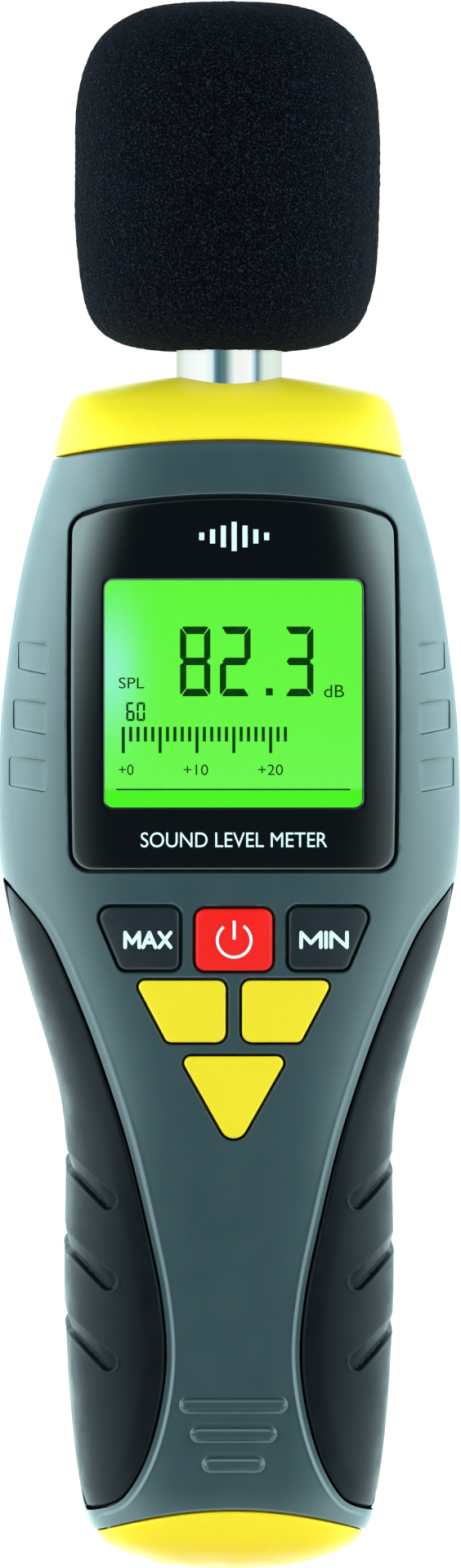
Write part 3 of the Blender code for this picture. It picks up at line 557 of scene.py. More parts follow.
def pillow(name, outline, profile, inner_rings, deep, dome=0.0, surface=front_surface,
           angle=45):
    """Raised piece that follows the crown. profile: (inset, lift) from its edge inwards."""
    rings = [crown_ring(outline.at(0.0), -deep, surface)]
    rings += [crown_ring(outline.at(-inset), lift, surface) for inset, lift in profile]
    inset, lift = profile[-1]
    rim = outline.at(-inset)
    for k in range(1, inner_rings + 1):
        t = 1 - k / (inner_rings + 0.35)
        rings.append(crown_ring(shrink(rim, rim.mean(0), t), lift + dome * (1 - t * t), surface))
    return stack(name, rings, angle=angle)


# ============================================================ shader graphs
def srgb(*rgb):
    """Linear colour from 0..255 display values."""
    shares = [c / 255.0 for c in rgb]
    return tuple(c / 12.92 if c <= 0.04045 else ((c + 0.055) / 1.055) ** 2.4 for c in shares)


def scaled(colour, factor):
    return tuple(c * factor for c in colour)


class Graph:
    """Shorthand for the node tree of a material or world."""

    def __init__(self, owner):
        owner.use_nodes = True
        self.owner, self.tree = owner, owner.node_tree

    def feed(self, node, inputs):
        """Link sockets and set plain values, by input name or index."""
        for key, value in inputs.items():
            if isinstance(value, bpy.types.NodeSocket):
                self.tree.links.new(value, node.inputs[key])
            else:
                node.inputs[key].default_value = value

    def node(self, kind, inputs=None, **settings):
        node = self.tree.nodes.new("ShaderNode" + kind)
        for key, value in settings.items():
            setattr(node, key, value)
        self.feed(node, inputs or {})
        return node

    @cached_property
    def coords(self):
        return self.node("TexCoord").outputs["Object"]

    def principled(self, inputs):
        node = self.tree.nodes["Principled BSDF"]
        self.feed(node, inputs)
        return node.outputs[0]

    def surface(self, shader, output="Material Output"):
        self.feed(self.tree.nodes[output], {"Surface": shader})

    def noise(self, scale, detail, roughness, vector=None):
        return self.node("TexNoise", {"Scale": scale, "Detail": detail, "Roughness": roughness,
                                      "Vector": vector or self.coords}).outputs["Fac"]

    def ramp(self, factor, stops):
        """Colour ramp; stops: (position, linear rgb)."""
        node = self.node("ValToRGB", {"Fac": factor})
        elements = node.color_ramp.elements
        while len(elements) < len(stops):
            elements.new(0.5)
        for element, (position, colour) in zip(elements, stops):
            element.position = position
            element.color = (*colour, 1.0)
        return node.outputs["Color"]

    def bump(self, height, strength, distance, normal=None):
        inputs = {"Strength": strength, "Distance": distance, "Height": height}
        if normal:
            inputs["Normal"] = normal
        return self.node("Bump", inputs).outputs["Normal"]

    def mix(self, factor, a, b, blend="MIX"):
        a, b = ((*c, 1.0) if isinstance(c, tuple) else c for c in (a, b))
        return self.node("Mix", {0: factor, 6: a, 7: b}, data_type="RGBA",
                         blend_type=blend).outputs[2]

    def math(self, operation, a, b):
        return self.node("Math", {0: a, 1: b}, operation=operation).outputs[0]

    def map_range(self, value, from_min=0.0, from_max=1.0, to_min=0.0, to_max=1.0,
                  interpolation="LINEAR"):
        return self.node("MapRange", {
            "Value": value, "From Min": from_min, "From Max": from_max, "To Min": to_min,
            "To Max": to_max}, interpolation_type=interpolation).outputs[0]

    def separate(self, vector):
        return self.node("SeparateXYZ", {0: vector}).outputs

    def mix_shader(self, factor, a, b):
        return self.node("MixShader", {0: factor, 1: a, 2: b}).outputs[0]


def material_graph(name):
    return Graph(bpy.data.materials.new(name))


# ============================================================ materials
def moulded(name, colour, roughness=0.45, specular=0.4, grain=0.1, grain_scale=5200.0,
            variation=0.06, roughness_spread=0.08, sheen=0.0):
    """Moulded plastic: spark-eroded grain, slight colour and gloss variation."""
    g = material_graph(name)
    low, high = scaled(colour, 1 - variation), scaled(colour, 1 + variation)
    cloud = g.ramp(g.noise(60.0, detail=3.0, roughness=0.55), [(0.3, low), (0.7, high)])
    speck = g.ramp(g.noise(grain_scale * 0.55, detail=2.0, roughness=0.5),
                   [(0.35, low), (0.65, high)])
    g.principled({
        "Base Color": g.mix(0.35, cloud, speck),
        "Roughness": g.map_range(g.noise(260.0, detail=4.0, roughness=0.6),
                                 from_min=0.3, from_max=0.7,
                                 to_min=roughness - roughness_spread,
                                 to_max=roughness + roughness_spread),
        "Specular IOR Level": specular,
        "Coat Roughness": 0.12})
    if sheen:
        g.principled({"Sheen Weight": sheen, "Sheen Roughness": 0.22,
                      "Sheen Tint": (0.55, 0.95, 1.0, 1)})
    if grain:
        height = g.noise(grain_scale, detail=2.0, roughness=0.6)
        g.principled({"Normal": g.bump(height, strength=grain, distance=0.00004)})
    return g.owner


def brushed_metal(name, colour, roughness):
    g = material_graph(name)
    stretched = g.node("Mapping", {"Scale": (1, 6, 1), "Vector": g.coords}).outputs[0]
    streaks = g.noise(900.0, detail=3.0, roughness=0.6, vector=stretched)
    tone = g.ramp(streaks, [(0.3, scaled(colour, 0.8)), (0.7, colour)])
    g.principled({
        "Base Color": g.mix(0.2, colour, tone),
        "Metallic": 1.0,
        "Roughness": g.map_range(streaks, to_min=roughness * 0.7, to_max=roughness * 1.3),
        "Normal": g.bump(streaks, strength=0.15, distance=0.00002)})
    return g.owner


def gap_painted_shade():
    """Painted shade: a matt near-black colour for the narrow gaps that stand in shadow, with no
    shine at flat viewing angles.
    """
    g = material_graph("gap_shadow")
    colour = g.ramp(g.noise(1500.0, detail=3.0, roughness=0.6),
                    [(0.35, (0.003, 0.005, 0.006)), (0.65, (0.007, 0.010, 0.012))])
    g.surface(g.node("BsdfDiffuse", {"Roughness": 1.0, "Color": colour}).outputs[0])
    return g.owner


# Painted reflection on the tube, given out as emitted colour: (turn in degrees from the camera
# side, display colour).
# A bright room with a broad dark gap and a narrow one.
TUBE_PAINTED_REFLECTION = [
    (-181, (200, 210, 196)), (-146, (209, 225, 202)), (-128, (229, 239, 228)),
    (-91, (241, 246, 243)), (-57, (246, 251, 247)), (-40.5, (223, 244, 246)),
    (-33, (100, 138, 158)), (-26, (62, 105, 112)), (-18.7, (84, 123, 133)),
    (-11.6, (98, 130, 134)), (-4.5, (160, 191, 180)), (2.5, (214, 229, 223)),
    (9.5, (251, 255, 254)), (39, (252, 253, 250)), (46.5, (247, 254, 249)),
    (54.5, (180, 207, 226)), (62.7, (58, 94, 128)), (71.3, (164, 180, 170)),
    (80.6, (218, 231, 215)), (100, (224, 234, 222)), (150, (219, 228, 215)),
    (181, (200, 210, 196))]


def tube_painted_reflection():
    """Polished tube with a painted reflection: a bright studio drawn as a ramp round it and
    emitted by reflection direction, with painted shade where the reflection points down or up,
    over a faint real metal.
    """
    g = material_graph("tube_painted_reflection")
    stretched = g.node("Mapping", {"Scale": (1, 1, 9), "Vector": g.coords}).outputs[0]
    streaks = g.noise(700.0, detail=3.0, roughness=0.6, vector=stretched)
    mirrored = g.separate(g.node("TexCoord").outputs["Reflection"])
    azimuth = g.math("ARCTAN2", mirrored["X"], g.math("MULTIPLY", mirrored["Y"], -1.0))
    wobble = g.math("MULTIPLY", g.math("SUBTRACT", streaks, 0.5), 0.035)
    azimuth = g.math("ADD", azimuth, wobble)
    turn = g.math("ADD", g.math("MULTIPLY", azimuth, 1 / (2 * pi)), 0.5)
    room = g.ramp(turn, [(min(1.0, max(0.0, degrees / 360.0 + 0.5)), srgb(*colour))
                         for degrees, colour in TUBE_PAINTED_REFLECTION])
    height = g.math("ADD", g.math("MULTIPLY", mirrored["Z"], 0.5), 0.5)
    # painted shade: the mirrored room darkens where the reflection points down or up
    shade = g.ramp(height, [(0.0, (0.3,) * 3), (0.5, (1,) * 3), (0.95, (0.75,) * 3)])
    # the painted reflection is emitted, not mirrored from the scene
    glow = g.node("Emission", {"Color": g.mix(1.0, room, shade, "MULTIPLY")}).outputs[0]
    steel = g.principled({"Base Color": (0.3, 0.32, 0.32, 1), "Metallic": 1.0,
                          "Roughness": 0.18,
                          "Normal": g.bump(streaks, strength=0.05, distance=0.00002)})
    g.surface(g.mix_shader(0.06, glow, steel))
    return g.owner


def open_foam():
    g = material_graph("foam_black")
    cell = g.node("TexVoronoi", {"Scale": 4300.0, "Vector": g.coords},
                  feature="F1").outputs["Distance"]
    fuzz = g.noise(3600.0, detail=3.0, roughness=0.75)
    cells = g.ramp(cell, [(0.12, (0.0001, 0.00012, 0.0003)), (0.45, (0.0006, 0.0008, 0.0015)),
                          (0.8, (0.0085, 0.0095, 0.0135))])
    tint = g.ramp(fuzz, [(0.36, (0.1, 0.12, 0.25)), (0.5, (0.7, 0.8, 1.1)),
                         (0.62, (3.2, 3.0, 3.0))])
    hue = g.ramp(g.noise(5200.0, detail=2.0, roughness=0.6),
                 [(0.38, (0.6, 0.6, 1.5)), (0.5, (1, 1, 1)), (0.62, (1.15, 1.15, 0.7))])
    coarse = g.bump(cell, strength=0.9, distance=0.00025)
    g.principled({
        "Base Color": g.mix(1.0, g.mix(1.0, cells, tint, "MULTIPLY"), hue, "MULTIPLY"),
        "Roughness": 0.95, "Specular IOR Level": 0.03, "Sheen Weight": 0.01,
        "Normal": g.bump(fuzz, strength=0.6, distance=0.00015, normal=coarse)})
    return g.owner


def clear_window():
    """Glass that lets shadow and diffuse rays straight through."""
    g = material_graph("clear_window")
    glass = g.principled({
        "Base Color": (1, 1, 1, 1), "Transmission Weight": 1.0, "IOR": 1.45,
        "Roughness": g.map_range(g.noise(40.0, detail=2.0, roughness=0.5), to_max=0.03)})
    path = g.node("LightPath").outputs
    passing = g.math("MAXIMUM", path["Is Shadow Ray"], path["Is Diffuse Ray"])
    g.surface(g.mix_shader(passing, glass, g.node("BsdfTransparent").outputs[0]))
    return g.owner


def lcd_panel():
    """Edge-lit panel: a cyan lamp glow near the left edge, slightly mottled."""
    g = material_graph("lcd_green")
    at = g.separate(g.coords)
    # height as a share of the 30.6 mm panel, whose lower edge is at 90.2 mm
    height = g.math("MULTIPLY", g.math("ADD", at["Z"], -0.0902), 1 / 0.0306)
    body = g.ramp(height, [(0.0, srgb(74, 250, 28)), (0.118, srgb(76, 250, 30)),
                           (0.125, srgb(112, 254, 82)), (0.45, srgb(104, 254, 68)),
                           (1.0, srgb(98, 254, 58))])
    # distance from the lamp, scaled to make an upright oval
    dx = g.math("MULTIPLY", g.math("ADD", at["X"], 0.0146), 260.0)
    dz = g.math("MULTIPLY", g.math("ADD", at["Z"], -0.1082), 115.0)
    square = g.math("ADD", g.math("MULTIPLY", dx, dx), g.math("MULTIPLY", dz, dz))
    glow = g.math("POWER", 2.718, g.math("MULTIPLY", square, -1.6))
    mottle = g.ramp(g.noise(900.0, detail=2.0, roughness=0.5),
                    [(0.4, srgb(80, 250, 40)), (0.6, srgb(120, 255, 90))])
    g.principled({
        "Base Color": (0.002, 0.01, 0.002, 1), "Specular IOR Level": 0.05, "Roughness": 0.35,
        "Emission Color": g.mix(0.06, g.mix(glow, body, srgb(150, 250, 205)), mottle),
        "Emission Strength": 1.0})
    return g.owner


def lcd_ink():
    g = material_graph("lcd_segment")
    colour = g.ramp(g.noise(1400.0, detail=2.0, roughness=0.5),
                    [(0.35, srgb(6, 58, 4)), (0.65, srgb(12, 70, 8))])
    g.principled({"Emission Color": colour, "Emission Strength": 1.0,
                  "Base Color": (0.0, 0.0, 0.0, 1), "Specular IOR Level": 0.0})
    return g.owner


GREY = moulded("housing_grey", (0.0155, 0.038, 0.046), roughness=0.40, specular=0.85,
               grain=0.35, sheen=0.12, roughness_spread=0.025)
SOFT = moulded("soft_grip", (0.0022, 0.0038, 0.0062), roughness=0.46, specular=0.12, grain=0.5,
               grain_scale=3800.0, variation=0.12, sheen=0.04)
YELLOW = moulded("cap_yellow", (0.90, 0.61, 0.016), roughness=0.42, specular=0.2, grain=0.08,
                 variation=0.02)
YELLOW_KEY = moulded("key_yellow", (0.83, 0.56, 0.012), specular=0.25, grain=0.2,
                     variation=0.02)
RED = moulded("key_red", (0.86, 0.006, 0.004), specular=0.22, grain=0.2, variation=0.03)
DARK = moulded("key_dark", (0.008, 0.0115, 0.017), specular=0.25, grain=0.3)
GLOSS = moulded("bezel_black", (0.002, 0.003, 0.0042), roughness=0.13, specular=0.75,
                grain=0.0, variation=0.1, roughness_spread=0.02)
# GAP is painted shade, laid on faces that stand in shadow
GAP = gap_painted_shade()
WHITE_INK = moulded("legend_ink", (0.72, 0.78, 0.78), roughness=0.5, specular=0.3, grain=0.2)
CHIP = moulded("chip_black", (0.014, 0.014, 0.016), roughness=0.55, grain=0.5)
RUBBER = moulded("rubber_black", (0.016, 0.016, 0.018), roughness=0.7, specular=0.3, grain=0.4)
SILICONE = moulded("silicone_grey", (0.24, 0.25, 0.27), roughness=0.55, grain=0.3)
BOARD = moulded("board_green", (0.012, 0.12, 0.04), roughness=0.35, specular=0.5, grain=0.3,
                grain_scale=1800.0, variation=0.25)
PLATE = moulded("light_plate", (0.75, 0.8, 0.75), roughness=0.4)
JACKET = moulded("cell_jacket", (0.03, 0.06, 0.18), roughness=0.3, specular=0.6, grain=0.15)
WIRE_RED = moulded("lead_red", (0.5, 0.015, 0.015))
WIRE_BLACK = moulded("lead_black", (0.012, 0.012, 0.012))
LABEL = moulded("label_silver", (0.3, 0.32, 0.325), specular=0.3, grain=0.2)
TRIMMER = moulded("trimmer_blue", (0.02, 0.09, 0.42), roughness=0.35, specular=0.5)
ZINC = brushed_metal("zinc_steel", (0.2, 0.21, 0.225), roughness=0.38)
BRASS = brushed_metal("brass", (0.3, 0.19, 0.06), roughness=0.36)
# CHROME is a painted reflection, emitted by reflection direction
CHROME = tube_painted_reflection()
FOAM = open_foam()
GLASS = clear_window()
LCD = lcd_panel()
INK = lcd_ink()

# ============================================================ shared part outlines
# Key forms: lift of the top's edge, extra dome in the middle, radius of the top edge
UPPER_FORM = {"lift": 0.32, "dome": 0.14, "edge": 0.42}
LOWER_FORM = {"lift": 0.2, "dome": 0.05, "edge": 0.28}
# Keys: corners (x, z), corner radii, form, material, slot
KEYS = {
    "key_max": ([(-16.75, 79.7), (-6.57, 79.7), (-6.57, 72.2), (-13.6, 72.2)],
                [1.3, 1.15, 1.0, 1.1], UPPER_FORM, DARK, "key_dark"),
    "key_power": (rectangle(-4.6, 4.6, 79.5, 72.1), 1.15, UPPER_FORM, RED, "key_red"),
    "key_min": ([(6.57, 79.7), (16.75, 79.7), (13.6, 72.2), (6.57, 72.2)],
                [1.15, 1.3, 1.1, 1.0], UPPER_FORM, DARK, "key_dark"),
    "key_left": ([(-11.9, 70.9), (-1.0, 70.9), (-1.0, 63.5), (-8.0, 63.5)],
                 [0.75, 1.0, 1.2, 0.85], LOWER_FORM, YELLOW_KEY, "key_yellow"),
    "key_right": ([(1.0, 70.9), (11.9, 70.9), (8.0, 63.5), (1.0, 63.5)],
                  [1.0, 0.75, 0.85, 1.2], LOWER_FORM, YELLOW_KEY, "key_yellow"),
    "key_lower": ([(-6.5, 61.8), (6.5, 61.8), (0.0, 50.3)],
                  [0.8, 0.8, 1.6], LOWER_FORM, YELLOW_KEY, "key_yellow"),
}
KEY_OUTLINES = {name: Outline(corners, radii, segments=7, step=0.6)
                for name, (corners, radii, *_) in KEYS.items()}
DOOR = Outline(rectangle(-14.7, 14.7, 8.6, 65.2), 2.0, step=1.2)
REAR_LABEL = Outline(rectangle(-13.3, 13.3, 106.7, 121.3), 1.3, step=1.5)
WINDOW = Outline(rectangle(-15.5, 15.5, 91.7, 118.95), 1.0, step=0.6)


def bezel_outline():
    """Display surround: bowed sides and an arched top."""
    half, bottom, corner, middle = 19.6, 84.2, 127.25, 128.9
    bow = 0.5
    end_x, shoulder = half - bow * 0.5, corner - 0.9
    arch = [(x, corner + (middle - corner) * (1 - (x / 17.4) ** 2))
            for x in np.linspace(15.5, -15.5, 23)]
    side = [(half - bow * (1 - cos(t)), z) for t, z in
            zip(np.linspace(1.0, -1.0, 13), np.linspace(bottom, shoulder, 13))][1:-1]
    corners = ([(-end_x, bottom), (end_x, bottom)] + side + [(end_x, shoulder)] + arch
               + [(-end_x, shoulder)] + [(-x, z) for x, z in side][::-1])
    straight = [0.0] * len(side)
    radii = [2.3, 2.3] + straight + [2.5] + [0.0] * len(arch) + [2.5] + straight
    return SmoothOutline(rounded(corners, radii, 12))


BEZEL = bezel_outline()


# ============================================================ housing covers
def level_list(bands):
    """Heights from bands of (start, end, step)."""
    out = []
    for start, end, step in bands:
        count = int(round((end - start) / step))
        out += [start + (end - start) * k / count for k in range(count)]
    out.append(bands[-1][1])
    return out


def cover_grid(middle, levels, columns):
    """Grid over one cover round its middle turn; its ends in z follow the curved seams."""
    reach = 1.0 - 0.004
    turns = np.array([even_turns(z, middle - reach, middle + reach, columns) for z in levels])
    start = np.repeat(np.array(levels)[:, None], columns, 1)
    low, high = levels[0], levels[-1]
    blend = 9.0                  # height over which the rows bend to the seam
    up = np.clip((start - (high - blend)) / blend, 0, 1)
    down = np.clip(((low + blend) - start) / blend, 0, 1)
    heights = start
    for _ in range(3):
        x = ring_point(heights, turns)[..., 0]
        heights = (start + up * (seam_z(x, TOP_SEAM) - SEAM_GAP - high)
                   + down * (seam_z(x, BOTTOM_SEAM) + SEAM_GAP - low))
    return ring_point(heights, turns)


def seam_easing(x, z):
    """Drop of the eased edges along the top and bottom seams."""
    return sum(0.16 * round_over(seam_distance(x, z, seam, direction), 0.3)
               for seam, direction in ((TOP_SEAM, -1), (BOTTOM_SEAM, 1)))


def front_grip_area():
    """Right grip's area in the front view, with clearance."""
    edge = offset_edge(COVER_GAP)
    (x0, z0), z1 = edge[0], edge[1][1]
    return np.array([(SIDE_CLEAR, z0 + (z0 - z1) * 2 + COVER_GAP), (x0 + 1.2, z0 + 1.25),
                     *edge, (SIDE_CLEAR, edge[-1][1])])


def rear_grip_area():
    """The same grip's area in the back view, with clearance."""
    heights = np.linspace(GRIP_BOTTOM - REAR_DROP - COVER_GAP, GRIP_TOP + COVER_GAP, 90)
    edge = [(float(half_width(z)) - REAR_REACH - COVER_GAP, z) for z in heights][::-1]
    return np.array(edge + [(SIDE_CLEAR, edge[-1][1]), (SIDE_CLEAR, edge[0][1])])


def grip_tools(area, y0, y1):
    return [prism(area * (side, 1), y0, y1) for side in (-1, 1)]


def paint_shade_on_ledges(ob):
    """Painted shade: the narrow ledges at the grips' ends lie in permanent shadow, so their faces
    get the dark gap material.
    """
    me = ob.data
    me.materials.append(GAP)
    count = len(me.polygons)
    centres, normals = np.zeros(3 * count), np.zeros(3 * count)
    me.polygons.foreach_get("center", centres)
    me.polygons.foreach_get("normal", normals)
    centres, up = centres.reshape(-1, 3) / MM, normals.reshape(-1, 3)[:, 2]
    x, z = np.abs(centres[:, 0]), centres[:, 2]
    # ledges facing up at the grips' lower ends and down at their upper ends get painted shade
    hit = (z > 6.3) & (z < 8.8) & (x > 10.0) & (up > 0.6)
    hit |= (z > 82.0) & (z < 86.5) & (x > 20.0) & (up < -0.6)
    index = np.zeros(count, np.int32)
    me.polygons.foreach_get("material_index", index)
    index[hit] = 1
    me.polygons.foreach_set("material_index", index)


def front_relief(x, z):
    """How far the front cover stands out from the plain body surface."""
    out = np.zeros_like(x)
    # three horizontal ribs with rounded ends: middle height, half length
    rib_half_height = 0.8
    for middle, half in ((19.95, 6.3), (16.45, 5.0), (12.85, 3.6)):
        beyond = np.maximum(np.abs(x) - (half - rib_half_height), 0)
        rim = np.hypot(beyond, z - middle) - rib_half_height
        out += (0.34 * smooth_step((0.14 - rim) / 0.32)
                + 0.11 * np.exp(-((rim + 0.2) / 0.16) ** 2)
                - 0.06 * np.exp(-((rim - 0.32) / 0.18) ** 2))
    # the middle panel stands a little proud: it falls off towards the grips
    below = np.clip((83.4 - z) / 5.0, 0, 1)
    edge = edge_distance(x, z)
    inboard = np.abs(x) < grip_edge_x(z) + 0.6
    ease = 1 - smooth_step((np.abs(x) / half_width(z) - 0.9) / 0.09)
    out -= ease * below * inboard * (0.25 * smooth_step((1.06 - edge) / 0.38)
                                     - 0.05 * np.exp(-((edge - 1.14) / 0.16) ** 2))
    return out - seam_easing(x, z)


def bezel_seat_tool():
    """Crowned pocket for the bezel, its floor following the surface."""
    wall, floor = 0.38, 2.3
    rings = sunk_rings(BEZEL, [(1.3, -0.6), (0.62, -0.02), (0.5, 0.04), (0.42, 0.14),
                               (wall, 0.32), (wall, floor)])
    rings += [crown_ring(shrink(BEZEL.at(wall), np.array([0.0, 106.0]), t), -floor)
              for t in (0.94, 0.88)]
    return stack("tool", [moved_to(rings[0], FRONT_CLEAR)] + rings + [moved_to(rings[-1], -3.0)])


def key_hole_tool(outline):
    gap, chamfer = 0.3, 0.22
    rings = sunk_rings(outline, [(gap + chamfer + 0.5, -0.5), (gap + chamfer, 0.0),
                                 (gap + 0.07, chamfer * 0.55), (gap, chamfer + 0.1)])
    return stack("tool", [moved_to(rings[0], FRONT_CLEAR)] + rings + [moved_to(rings[-1], -6.0)])


def side_recess_tool(side, z0, z1, x0, x1):
    """Shallow recess beside the display."""
    floor = 0.34
    outline = Outline([(side * x0, z0 + 0.1), (side * x1, z0 + 0.9), (side * x1, z1 + 0.4),
                       (side * x0, z1 - 0.1)], 0.35, segments=6, step=0.4)
    rings = sunk_rings(outline, [(0.35, -0.3), (0.06, 0.0), (0.0, 0.12), (-0.05, 0.3),
                                 (-0.12, floor)])
    rim = outline.at(-0.12)
    rings += [crown_ring(shrink(rim, rim.mean(0), t), -floor) for t in (0.75, 0.5, 0.25, 0.05)]
    return stack("tool", [moved_to(rings[0], FRONT_CLEAR)] + rings)


# Recesses on each side of the display: z0, z1, inner x, outer x
SIDE_RECESSES = [(107.5, 111.3, 22.3, 25.7), (100.3, 104.3, 22.4, 26.3),
                 (93.4, 97.4, 22.5, 26.8)]


def front_cover():
    levels = level_list([(4.56, 6.0, 0.1), (6.0, 10.8, 0.16), (10.8, 21.2, 0.12),
                         (21.2, 82.0, 0.5), (82.0, 84.6, 0.3), (84.6, 132.0, 0.7),
                         (132.0, 133.74, 0.12)])
    grid = cover_grid(1, levels, 381)
    relief = front_relief(grid[..., 0], grid[..., 2])
    cover = shell("front_cover_shell", grid + grid_normals(grid) * relief[..., None], 3.3)
    tools = [bezel_seat_tool()]
    tools += grip_tools(front_grip_area(), -30.0, 2.0)
    tools += [key_hole_tool(outline) for outline in KEY_OUTLINES.values()]
    tools += [side_recess_tool(side, *recess) for recess in SIDE_RECESSES for side in (-1, 1)]
    cut(cover, tools)
    place(cover, "housing", "housing", GREY, "front_cover")
    paint_shade_on_ledges(cover)


def door_opening_tool():
    """The opening steps in below the door, so the door rests on a ledge."""
    rings = sunk_rings(DOOR, [(0.9, -0.5), (0.42, 0.0), (0.3, 0.14), (0.3, 2.05),
                              (-0.75, 2.1)], back_surface)
    return stack("tool", [moved_to(rings[-1], 5)] + rings[::-1]
                 + [moved_to(rings[0], BACK_CLEAR)])


CASE_SCREWS = [(-16.0, 129.6), (16.0, 129.6), (-16.2, 67.5), (16.2, 67.5)]   # x, z


def rear_cover():
    levels = level_list([(4.56, 6.0, 0.15), (6.0, 10.0, 0.4), (10.0, 82.0, 0.9),
                         (82.0, 85.0, 0.2), (85.0, 132.0, 1.0), (132.0, 133.74, 0.15)])
    grid = cover_grid(3, levels, 181)
    relief = -seam_easing(grid[..., 0], grid[..., 2])
    cover = shell("rear_cover_shell", grid + grid_normals(grid) * relief[..., None], 2.6)
    tools = [door_opening_tool()]
    tools += grip_tools(rear_grip_area(), -2.0, 30.0)
    tools.append(stepped_tool(REAR_LABEL.at,
                              [(0.0, 15.2), (0.0, 15.48), (0.15, 15.62), (0.15, 20.0)]))
    # hole of the tripod insert
    tools.append(hole_tool(0, 98, [(5.1, 8), (5.1, 15.4), (5.35, 15.65), (5.35, 20)]))
    for x, z in CASE_SCREWS:
        mouth = float(back_surface(abs(x), z))
        tools.append(hole_tool(x, z, [(1.5, 8), (1.5, 12.4), (2.65, 12.5), (2.65, mouth - 0.1),
                                      (3.3, mouth + 0.6), (3.3, 20)]))
    cut(cover, tools)
    place(cover, "housing", "housing", GREY, "rear_cover")
    paint_shade_on_ledges(cover)


def battery_door():
    door = pillow("battery_door_skin", DOOR, [(0.0, -0.35), (0.02, -0.12), (0.1, -0.03),
                                              (0.25, 0.0)],
                  inner_rings=10, deep=1.8, surface=back_surface)
    grooves = []
    for k in range(5):
        bottom = 51.4 + 1.7 * k
        outline = Outline(rectangle(-5.5, 5.5, bottom, bottom + 0.75), 0.36, segments=6,
                          step=1.0)
        grooves.append(stepped_tool(outline.at, [(-0.12, 15.18), (0.0, 15.4), (0.25, 15.66),
                                                 (0.25, 18.0)]))
    cut(door, grooves)
    place(door, "battery_door", "housing", GREY, "battery_door")


def side_strips(name, levels, section, material):
    """Strip inside each side wall; section: (inset from the half width, y)."""
    for side, word in ((-1, "left"), (1, "right")):
        rings = [[(side * (float(half_width(z)) - inset), y, z) for inset, y in section]
                 for z in levels]
        place(stack(name + "_" + word, rings), "housing", "housing", material)


def joint_screens():
    """Tongues behind the side joint and curbs under the grips, so neither can be seen through;
    the curbs are dark sheets of painted shade.
    """
    side_strips("case_tongue", np.concatenate([np.arange(5.0, 133.2, 1.6), [133.2]]),
                ((3.42, -1.1), (3.42, 2.9), (3.85, 2.7), (3.85, -0.9)), GREY)
    # the curbs use the gap material, which is painted shade
    side_strips("case_curb", (6.2, 6.6, 7.0, 7.3, 7.5),
                ((0.14, 0.7), (0.16, 2.1), (6.5, 2.1), (6.5, 0.7)), GAP)


# ============================================================ grips
GROOVE_HEIGHTS = (44.55, 34.85, 25.15)   # z of each finger groove's inner end
GROOVE_RADIUS = 1.22
# A groove's course: (x, rise) over the front, then (y, rise) round the side
GROOVE_FRONT = ((15.0, 0.0), (15.9, 0.85), (16.8, 1.7), (17.6, 2.5), (18.3, 3.2), (18.9, 3.8),
                (19.3, 4.25))
GROOVE_SIDE = ((-2.0, 4.75), (0.0, 5.15), (3.0, 5.6), (6.0, 6.0), (9.0, 6.4))


def groove_relief(grid, base):
    """A groove that is deeper along its lower side, with a raised lip below."""
    course = [(x, float(front_surface(min(x, float(half_width(base)) - 0.02), base + rise)),
               base + rise) for x, rise in GROOVE_FRONT]
    course += [(float(half_width(base + rise)) * (1 - 0.0006 * y * y), y, base + rise)
               for y, rise in GROOVE_SIDE]
    course = np.array(course)
    x, y = grid[..., 0], grid[..., 1]
    best = np.full(x.shape, 9.0)
    above = np.zeros(x.shape)
    for a, b in zip(course[:-1], course[1:]):
        run = b - a
        t = np.clip(((grid - a) @ run) / float(run @ run), 0, 1)
        near = a + t[..., None] * run
        distance = np.linalg.norm(grid - near, axis=-1)
        above = np.where(distance < best, grid[..., 2] - near[..., 2], above)
        best = np.minimum(best, distance)
    signed = np.where(above > 0, best, -best)
    end = np.clip((16.0 - x) / 1.4, 0, 1) * (y < 0)
    slope = np.clip((GROOVE_RADIUS - signed) / (2 * GROOVE_RADIUS), 0, 1)
    slope = slope * (1 - end) + np.maximum(slope, 0.75) * end
    depth = 0.62 * smooth_step((GROOVE_RADIUS - best) / 0.3) * slope
    lip = np.exp(-((best - (GROOVE_RADIUS + 0.18)) / 0.16) ** 2) * (above < 0.4)
    return 0.06 * lip - depth


